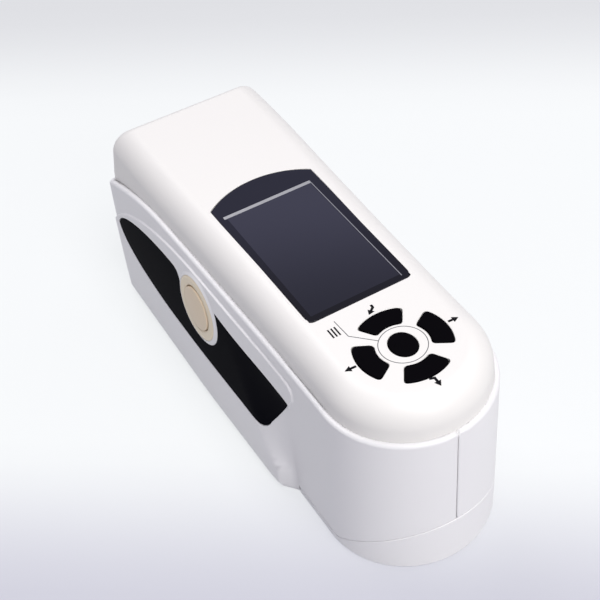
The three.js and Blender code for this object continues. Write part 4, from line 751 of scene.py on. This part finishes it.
shellGrid = lattice(
    np.concatenate([steps(0, noseRun, 1.6), steps(noseRun, cornerS, 2.4), steps(cornerS, rearS, 0.9),
                    steps(rearS, wholeS, 2.4)]),
    np.concatenate([steps(-42, lowW - 1.5, 3.0), steps(lowW, 4.5, 0.7), steps(6.5, 72, 2.4)]),
)


def shellBuild(left):
    build, place = Build(), onBody()
    if left:
        holes = [grown(inlayOutline(True, button["boss"] - button["overlap"], over=True), inlay["bedEdge"])]
    else:
        holes = [grown(inlayOutline(False), inlay["bedEdge"])]
        holes += [circle(x, screwZ, screwHole["radius"], 32) for x in screwX]
    loops = [wound(shellLoop())] + [wound(spaced(onSide(hole), 1.2), True) for hole in holes]
    lines = []
    for share in (0.0, 0.2, 0.4, 0.6, 0.8, 1.0):
        ridge = spaced(grown(panelLoop, -share * panel["slope"]), 1.3)
        lines.append(ridge[(ridge[:, 0] > rearX + 0.2) & (ridge[:, 1] > 0.6)])
    lines = [onSide(part) for line in lines for part in splitRuns(line)]
    build.patch(loops, shellGrid, place, lines, room=0.55)
    r = shellEdge["radius"]
    s, w = loops[0].T
    onRim = w > rimLine(s, r) - rimSwell(s) - 0.2
    build.edge(loops[0], place, roundEdge(r, shellEdge["wall"], shellEdge["inner"], shellEdge["lower"]),
               swell=np.where(onRim, rimSwell(s), 0.0))
    build.edge(loops[1], place, roundEdge(inlay["bedEdge"], inlay["bedDepth"]))
    for loop in loops[2:]:
        build.edge(loop, place, roundEdge(screwHole["edge"], screwHole["depth"]))
    return build


def splitRuns(line):  # cuts a line where it leaps
    jumps = np.where(np.linalg.norm(np.diff(line, axis=0), axis=1) > 4)[0] + 1
    return [part for part in np.split(line, jumps) if len(part) > 1]


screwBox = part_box("side_screw_1"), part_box("side_screw_3")
screwX = [float((low.x + high.x) / 2 / mm) for low, high in screwBox]
screwZ = float((screwBox[0][0].z + screwBox[0][1].z) / 2 / mm)

place = buttonPlace()
leftBuild = shellBuild(True).mirrored()
bossTop, seat = button["bossRise"], button["ringOuter"] + button["ringGap"]
bossFoot, bossFloor = button["boss"] + button["bossFoot"], bossTop - button["bossStep"]
leftBuild.turn([
    (bossFoot, -1.2), (bossFoot, -0.35, 0.1), (button["boss"] - button["bossFlank"], bossTop, 0.4),
    (seat, bossTop, 0.1), (seat, bossFloor), (button["bossInner"], bossFloor),
], place)
makePiece("left_side", leftBuild, "housing", "left_shell", "shell_white")
makePiece("right_side", shellBuild(False), "housing", "right_shell", "shell_white")
print("side shells are in")


# inlays
def inlayBuild(left):
    build, place = Build(), onBody(-inlay["sunk"])
    gap, r = body["gap"], inlay["edge"]
    loop = wound(onSide(spaced(grown(inlayOutline(left, button["boss"]), -gap - r), 1.2)))
    build.patch([loop], lattice(steps(noseRun, rearS, 2.4), steps(20, 60, 2.4)), place)
    build.edge(loop, place, roundEdge(r, inlay["thickness"]))
    return build


makePiece("left_grip_inlay", inlayBuild(True).mirrored(), "housing", "left_inlay", "inlay_black")
makePiece("right_grip_inlay", inlayBuild(False), "housing", "right_inlay", "inlay_black")

# trim ring and test button
ringBuild = Build()
outer, inner, top, foot = button["ringOuter"], button["ringInner"], button["ringRise"], -button["ringDepth"]
ringBuild.turn([
    (outer, foot), (outer, top - 0.35, 0.25), (outer - 0.9, top, 0.8), (inner + 0.7, top - 0.05, 0.5),
    (inner, top - 0.5, 0.3), (inner, foot),
], place)
makePiece("test_ring", ringBuild, "housing", "button_ring", "gold")

knobBuild = Build()
radius, top, fall = button["radius"], button["rise"], button["dome"]
flange, flangeTop, flangeFoot = button["flange"], button["flangeTop"], button["flangeFoot"]
outward = [1 - i / button["domeSteps"] for i in range(1, button["domeSteps"])]
knobBuild.turn([
    (button["stem"], button["foot"]), (button["stem"], flangeFoot), (flange, flangeFoot, 0.2),
    (flange, flangeTop, 0.2), (radius, flangeTop), (radius, top - fall, 0.55),
    *[(radius * share, top - fall * share ** 2, 4) for share in outward], (0, top),
], place)
makePiece("test_knob", knobBuild, "test_button", "test_button", "gold", [finish["buttonGold"]])
print("inlays, ring and button are in")


# top cover
cover = dict(
    fillet=9.5, rearFillet=0.7, cornerShare=0.2, leastCorner=0.63,
    leanNose=0.03, leanRear=0.16, leanBack=0.05, skirt=4.5, holeEdge=0.25, wall=2.2,
)
filletEnd = cover["fillet"] * quarter


def coverPoint(s, v):
    fillet = cover["fillet"]
    theta = clamp(v / fillet, 0, quarter)
    inset = fillet * (1 - np.cos(theta))
    sidePart = (np.abs(s) - noseRun) / sideRun
    low = partingZ(np.where(sidePart < 0, noseX, between(noseX, rearX, sidePart))) - cover["skirt"]
    straight = body["height"] - fillet
    z = np.where(v < 0, between(straight, low, -v / fillet), straight + fillet * np.sin(theta))
    ledge, noseLean = body["ledge"], cover["leanNose"] * np.maximum(z - body["parting"], 0)
    radius = body["noseRadius"] - ledge - noseLean - inset
    backLean = cover["leanBack"] * np.maximum(z - partingZ(rearX), 0)
    backX = rearX + ledge + backLean + inset * cover["rearFillet"]
    corner = np.maximum(body["rearCorner"] - ledge - inset * cover["cornerShare"], cover["leastCorner"])

    def halfAt(x):
        rearward = clamp((noseX - x) / (noseX - rearX))
        lean = between(cover["leanNose"], cover["leanRear"], rearward ** 2)
        return rimHalf(x) - ledge - lean * np.maximum(z - partingZ(x), 0) - inset
    return roundPlan(s, z, (radius, noseX, backX, corner, backX + corner), halfAt)


def onCover(s, v):
    s, v = np.asarray(s, float), np.asarray(v, float)
    wideS, wideV, levelRun = 0.9, 0.3, 2.5
    along = coverPoint(s + wideS, v) - coverPoint(s - wideS, v)
    up = coverPoint(s, v + wideV) - coverPoint(s, np.maximum(v - wideV, -cover["fillet"]))
    level = ease((v - filletEnd + levelRun) / levelRun)[:, None]
    normals = unit(np.cross(along, up)) * (1 - level) + np.array([0, 0, 1.0]) * level
    return coverPoint(s, v), unit(normals)


lens = dict(
    rearX=-27.5, frontX=45, rearHalf=21.6, frontHalf=21, rearArc=7.8, corner=3,
    thickness=1.1, gap=0.15, edge=0.22, holeDepth=1.4,
    field=((-20.2, 42.2), (-18.4, 17.2)), bar=((-21.8, -20.2), (-19.4, 17.5)),
    line=((-21.8, 43.0), (17.5, 17.82)),
)


def lensOutline(grow):
    rear, front = lens["rearX"] - grow, lens["frontX"] + grow
    rearHalf, frontHalf, corner = lens["rearHalf"] + grow, lens["frontHalf"] + grow, lens["corner"]
    radius = (rearHalf ** 2 + lens["rearArc"] ** 2) / (2 * lens["rearArc"])
    reach = math.asin(rearHalf / radius)
    return chain(
        [(rear, -rearHalf)],
        arc(front - corner, corner - frontHalf, corner, -quarter, 0, 10),
        arc(front - corner, frontHalf - corner, corner, 0, quarter, 10),
        [(rear, rearHalf)],
        arc(rear - lens["rearArc"] + radius, 0, radius, math.pi - reach, math.pi + reach, 40)[1:-1],
    )


keypad = dict(
    x=70.9, inner=9.7, outer=16.9, half=math.radians(31), corner=1.5, rise=0.5, gap=0.25,
    centre=(5.6, 4.75), edge=0.4, depth=2.6,
)


def keyOutline(facing, grow):
    if facing is None:
        return circle(0, 0, 1, 72) * (np.array(keypad["centre"]) + grow) + (keypad["x"], 0)
    inner, outer = keypad["inner"] - grow, keypad["outer"] + grow
    half = keypad["half"] + grow / ((inner + outer) / 2)
    corner = keypad["corner"] + grow / 2

    def at(radius, angle):
        return (keypad["x"] + radius * math.cos(facing + angle), radius * math.sin(facing + angle))
    innerTurn, outerTurn = corner / inner, corner / outer
    return chain(
        arc(keypad["x"], 0, outer, facing - half + outerTurn, facing + half - outerTurn, 22),
        bend(at(outer, half - outerTurn), at(outer, half), at(outer - corner, half), 7),
        bend(at(inner + corner, half), at(inner, half), at(inner, half - innerTurn), 7),
        arc(keypad["x"], 0, inner, facing + half - innerTurn, facing - half + innerTurn, 14),
        bend(at(inner, innerTurn - half), at(inner, -half), at(inner + corner, -half), 7),
        bend(at(outer - corner, -half), at(outer, -half), at(outer, outerTurn - half), 7),
    )


# the way each key lies from the middle one
keyFacing = dict(
    key_rear=math.pi, key_right=quarter, key_front=0.0, key_left=-quarter, key_centre=None,
)

coverBuild = Build()
halfS = runs(0, (noseRun, 1.3), (cornerS, 2.2), (rearS, 0.9), (wholeS, 2.0))
ringS = np.concatenate([halfS, -halfS[1:-1][::-1]])
coverRows = [onCover(ringS, np.full(len(ringS), v))
             for v in runs(-cover["fillet"], (0, 2.4), (filletEnd, 0.85))]
coverBuild.rows(coverRows)
topLoop = wound(coverRows[-1][0][:, :2])
r = cover["holeEdge"]
windowHole = wound(spaced(lensOutline(lens["gap"] + r), 1.5), True)
keyHoles = [wound(keyOutline(facing, keypad["gap"] + r), True) for facing in keyFacing.values()]
onTop = flatAt(body["height"])
coverBuild.patch([topLoop, windowHole] + keyHoles, lattice(steps(-100, 100, 3), steps(-30, 30, 3)), onTop)
coverBuild.edge(windowHole, onTop, roundEdge(r, lens["holeDepth"]))
for hole in keyHoles:
    coverBuild.edge(hole, onTop, roundEdge(r, cover["wall"]))
makePiece("cover_shell", coverBuild, "housing", "top_cover", "cover_white")


# display window
def box(xs, ys):
    return spaced(np.array([(xs[0], ys[0]), (xs[1], ys[0]), (xs[1], ys[1]), (xs[0], ys[1])], float), 3.0)


def windowSlots(points):
    kinds = np.zeros(len(points), int)
    x, y = points.T
    for kind, (xs, ys) in enumerate(windowAreas, 1):
        kinds[(x > xs[0]) & (x < xs[1]) & (y > ys[0]) & (y < ys[1])] = kind
    return kinds


windowAreas = lens["field"], lens["bar"], lens["line"]
windowBuild = Build()
windowLoop = wound(spaced(lensOutline(-lens["edge"]), 1.5))
borders = [np.concatenate([b, b[:1]]) for b in (box(*area) for area in windowAreas)]
windowGrid = lattice(steps(-34, 45, 4), steps(-21, 21, 4))
windowBuild.patch([windowLoop], windowGrid, onTop, borders, slotAt=windowSlots, room=0.3)
windowBuild.edge(windowLoop, onTop, roundEdge(lens["edge"], lens["thickness"]))
windowLooks = [slotFinish["window"], slotFinish["display"], finish["barSilver"], finish["lineSilver"]]
makePiece("window", windowBuild, "housing", "screen_lens", "window", windowLooks)

# keys
for name, facing in keyFacing.items():
    keyBuild = Build()
    loop = wound(keyOutline(facing, -keypad["edge"]))
    onKey = flatAt(body["height"] + keypad["rise"])
    keyBuild.patch([loop], lattice(steps(50, 92, 2), steps(-18, 18, 2)), onKey)
    keyBuild.edge(loop, onKey, roundEdge(keypad["edge"], keypad["depth"]))
    makePiece(name + "_cap", keyBuild, name, name, "key_black")
print("cover, window and keys are in")


# printed marks on the cover
marks = dict(
    height=0.03, ringRadius=8.3, ringWidth=0.27,
    lead=[(64.95, -5.75), (57.4, -12.8), (48.7, -13.2)], leadWidth=0.28,
    bars=3, barX=(51.0, 55.4), barY=-14.6, barPitch=1.25, barHalf=0.3,
    arrowWidth=0.95, headLength=2.2, headWidth=2.6,
    # middle lines, the last point is the tip
    arrows=dict(
        arrow_rear=[(49.2, 1.1), (50.6, 1.0), (52.9, -2.0)], arrow_right=[(70.8, 17.9), (71.0, 21.9)],
        arrow_left=[(70.3, -17.7), (70.1, -21.9)], arrow_front=[(88.3, -1.5), (88.9, 0.2), (92.8, 0.1)],
    ),
)


def stripe(points, width):  # an open line with a width
    points = np.array(points, float)
    ahead = unit(np.diff(points, axis=0))
    normals = np.stack([-ahead[:, 1], ahead[:, 0]], 1)
    first, second = np.vstack([normals[:1], normals]), np.vstack([normals, normals[-1:]])
    side = (first + second) / np.maximum(1 + dot(first, second), 0.35) * width / 2
    return np.concatenate([points + side, (points - side)[::-1]])


def printMark(name, loops, ink):
    build = Build()
    top = flatAt(body["height"] + marks["height"])
    loops = [wound(loops[0])] + [wound(loop, True) for loop in loops[1:]]
    build.patch(loops, np.full((1, 2), 500.0), top)  # one point far outside, so no grid
    for loop in loops:
        build.edge(loop, top, [(0, 0, 1, 0), (0, marks["height"], 1, 0)])
    makePiece(name, build, "housing", None, "key_black", [finish[ink]])


ringEdges = [circle(keypad["x"], 0, marks["ringRadius"] + side * marks["ringWidth"] / 2, 96)
             for side in (1, -1)]
printMark("ring_line", ringEdges, "inkGrey")
printMark("lead_line", [stripe(marks["lead"], marks["leadWidth"])], "inkGrey")
for i in range(marks["bars"]):
    y, half = marks["barY"] - marks["barPitch"] * i, marks["barHalf"]
    printMark(f"bar_mark_{i + 1}", [box(marks["barX"], (y - half, y + half))], "inkDark")
for name, path in marks["arrows"].items():
    path = np.array(path)
    tip, along = path[-1], unit(path[-1] - path[-2])
    across = np.array([-along[1], along[0]]) * marks["headWidth"] / 2
    base = tip - along * marks["headLength"]
    shaft = stripe(np.vstack([path[:-1], base]), marks["arrowWidth"])
    half = len(path)
    printMark(name, [chain(shaft[:half], base + across, tip, base - across, shaft[half:])], "inkDark")


# calibration cap
def capBuild():
    build, place = Build(), onBody(0.0, False)
    r, wall = cap["edge"], cap["wall"]
    backX = body["gripEnd"] + 2 * body["gap"] + r
    farS, lowS = float(alongOf(backX, 3.0)), float(alongOf(backX, 0.0))
    s = runs(0, (noseRun, 1.2), (farS, 1.5))
    s = np.concatenate([-s[1:][::-1], s])
    rim = np.stack([s, noseLine(s, -r)], 1)
    low = np.stack([s * lowS / farS, np.full(len(s), lowW)], 1)
    loop = wound(spaced(chain(low, rim[::-1]), 1.6))
    grid = lattice(np.concatenate([-steps(0, 80, 1.6)[1:], steps(0, 80, 1.6)]),
                   np.concatenate([steps(lowW, 4.5, 0.5), steps(5, 26, 1.6)]))
    build.patch([loop], grid, place, room=0.35)
    top = spaced(np.concatenate([low[-1:], rim[::-1], low[:1]]), 1.6, closed=False)
    build.edge(top, place, roundEdge(r, wall, cap["inner"], cap["lower"]), closed=False)
    # the level underside, whose outline lies under the fillet
    foot = place(low[:, 0], low[:, 1])[0]
    sole = wound(spaced(np.stack([foot[:, 0], -foot[:, 1]], 1), 3.0))
    level = lattice(steps(44, 102, 3), steps(-33, 33, 3))
    build.patch([sole], level, flatAt(0.0, up=False))
    # inner wall and floor, with the hole for the tile
    side = steps(0, farS - cap["wallEnd"], 1.5)
    wallS = np.concatenate([-side[1:][::-1], side])
    high, floorW = noseLine(wallS, -cap["inner"], -wall), levelOf(np.full(len(wallS), cap["floor"]))
    rows = [onBody(-wall, False)(wallS, between(floorW, np.maximum(high, floorW), t))
            for t in np.linspace(0, 1, 6)]
    build.rows([(p, -n) for p, n in rows], closed=False)
    floor = rows[0][0][:, :2]
    back = [(backX - r + cap["inner"], floor[end, 1]) for end in (-1, 0)]
    hole, onFloor = wound(circle(noseBaseX, 0, cap["tileRadius"], 72), True), flatAt(cap["floor"])
    build.patch([wound(spaced(np.concatenate([floor, back]), 2.0)), hole], level, onFloor)
    build.edge(hole, onFloor, roundEdge(cap["tileEdge"], cap["tileDepth"]))
    return build


makePiece("nose_cap", capBuild(), "cap", "calibration_cap", "shell_white")
print("marks and cap are in")

# floor, light and camera
light = dict(
    room=0.38, roomTone=(0.57, 0.57, 0.70), seen=(246, 248, 250), size=1.0, aim=(0, 0, 0.04),
    # name: power, place, tone
    lamps=dict(
        overFront=(30.0, (1.10, 0.05, 1.91), (1.0, 0.99, 0.975)),
        front=(9.6, (1.90, 0.10, 1.10), (1.0, 0.99, 0.985)),
        overRight=(4.6, (0.0, 1.10, 1.91), (1.0, 0.99, 0.98)),
        overRear=(13.0, (-1.10, 0.0, 1.91), (0.99, 0.98, 1.0)),
    ),
)
ground = dict(
    half=6, azimuth=54.5, far=-0.31, run=0.42, drop=0.0005, lit=(0.60, 0.60, 0.615), share=0.66, litLevel=1.1,
    # the floor's tone, and for each edge a painted shade: its tone, where the fade starts and ends, the span
    # of its stops
    tone=(249, 251, 252), stops=7,
    fades=[((226, 227, 230), 0.29, 0.01, (0.01, 0.29)), ((209.6, 209.5, 221), 0.81, 1.01, (0.81, 0.98))],
)


def floorTones():
    plain = np.array(ground["tone"])
    return [(at, between(plain, tone, ease((at - start) / (end - start))))
            for tone, start, end, span in ground["fades"] for at in np.linspace(*span, ground["stops"])]


def emptied(owner):  # a bare node tree to wire
    owner.use_nodes = True
    owner.node_tree.nodes.clear()
    return Wire(owner.node_tree)


def rays(w, first, *others):  # 1 for the named kinds of ray
    path = w.node("LightPath")
    total = path.beside(first)
    for kind in others:
        total = w.math("MAXIMUM", total, path.beside(kind))
    return total


def makeFloor():
    mesh = bpy.data.meshes.new("floor")
    h = ground["half"]
    mesh.from_pydata([(-h, -h, 0), (h, -h, 0), (h, h, 0), (-h, h, 0)], [], [(0, 1, 2, 3)])
    floor = newObject("floor", mesh)
    floor.location.z = -ground["drop"]
    material = bpy.data.materials.new("paleFloor")
    w = emptied(material)
    x = w.node("SeparateXYZ", {0: w.node("TexCoord", out="Object")})
    turn, far = math.radians(ground["azimuth"]), ground["far"]
    along = x * math.sin(turn) - x.beside("Y") * math.cos(turn)
    share = w.node("MapRange", {"Value": along, "From Min": far, "From Max": far + ground["run"]})
    # the lit share of the floor already adds its own level
    level = ground["litLevel"] * np.array(ground["lit"]) * (1 - ground["share"])
    # the glow seen by the camera darkens towards the near and far edges: painted shade on the floor
    stops = [(at, (colour(*tone) - level) / ground["share"]) for at, tone in floorTones()]
    tone = w.node("ValToRGB", {0: share}, {"stops": stops})
    plain = w.node("BsdfDiffuse", {"Color": (*ground["lit"], 1)})
    bright = w.node("Emission", {"Color": tone, "Strength": 1.0})
    seen = rays(w, "Is Camera Ray", "Is Glossy Ray", "Is Transmission Ray") * ground["share"]
    mixed = w.node("MixShader", {0: seen, 1: plain, 2: bright})
    w.node("OutputMaterial", {"Surface": mixed}, out=None)
    mesh.materials.append(material)


def areaLight(name, power, place, tone):
    lamp = bpy.data.lights.new(name, "AREA")
    lamp.energy, lamp.size, lamp.color = power, light["size"], tone
    holder = newObject(name, lamp)
    holder.location = place
    holder.rotation_euler = (Vector(light["aim"]) - Vector(place)).to_track_quat("-Z", "Y").to_euler()


def makeWorld():
    world = bpy.data.worlds.new("softRoom")
    bpy.context.scene.world = world
    w = emptied(world)
    fill = w.node("Background", {"Color": (*light["roomTone"], 1), "Strength": light["room"]})
    pale = w.node("Background", {"Color": (*colour(*light["seen"]), 1), "Strength": 1.0})
    seen = rays(w, "Is Camera Ray", "Is Transmission Ray")
    mixed = w.node("MixShader", {0: seen, 1: fill, 2: pale})
    w.node("OutputWorld", {"Surface": mixed}, out=None)


camera = dict(
    place=(0.3027, -0.138, 0.3704), azimuth=63.14, elevation=44.04, roll=-5.99,
    lens=71.81, sensor=36.0, shift=(-0.0693, -0.006),
)


def makeCamera():
    azimuth, elevation, roll = (math.radians(camera[k]) for k in ("azimuth", "elevation", "roll"))
    level = Vector((math.cos(azimuth), math.sin(azimuth), 0))
    ahead = Vector((math.sin(azimuth), -math.cos(azimuth), 0))
    back = ahead * math.cos(elevation) + Vector((0, 0, math.sin(elevation)))
    up = back.cross(level)
    right = level * math.cos(roll) + up * math.sin(roll)
    top = up * math.cos(roll) - level * math.sin(roll)
    data = bpy.data.cameras.new("photoView")
    data.lens, data.sensor_width = camera["lens"], camera["sensor"]
    data.shift_x, data.shift_y = camera["shift"]
    data.clip_start = 0.01
    holder = newObject("photoView", data)
    turn = Matrix((right, top, back)).transposed().to_4x4()
    holder.matrix_world = Matrix.Translation(camera["place"]) @ turn
    bpy.context.scene.camera = holder


makeFloor()
makeWorld()
for name, lamp in light["lamps"].items():
    areaLight(name, *lamp)
makeCamera()
bpy.context.scene.view_settings.view_transform = "Standard"
print("stage, light and camera are in")
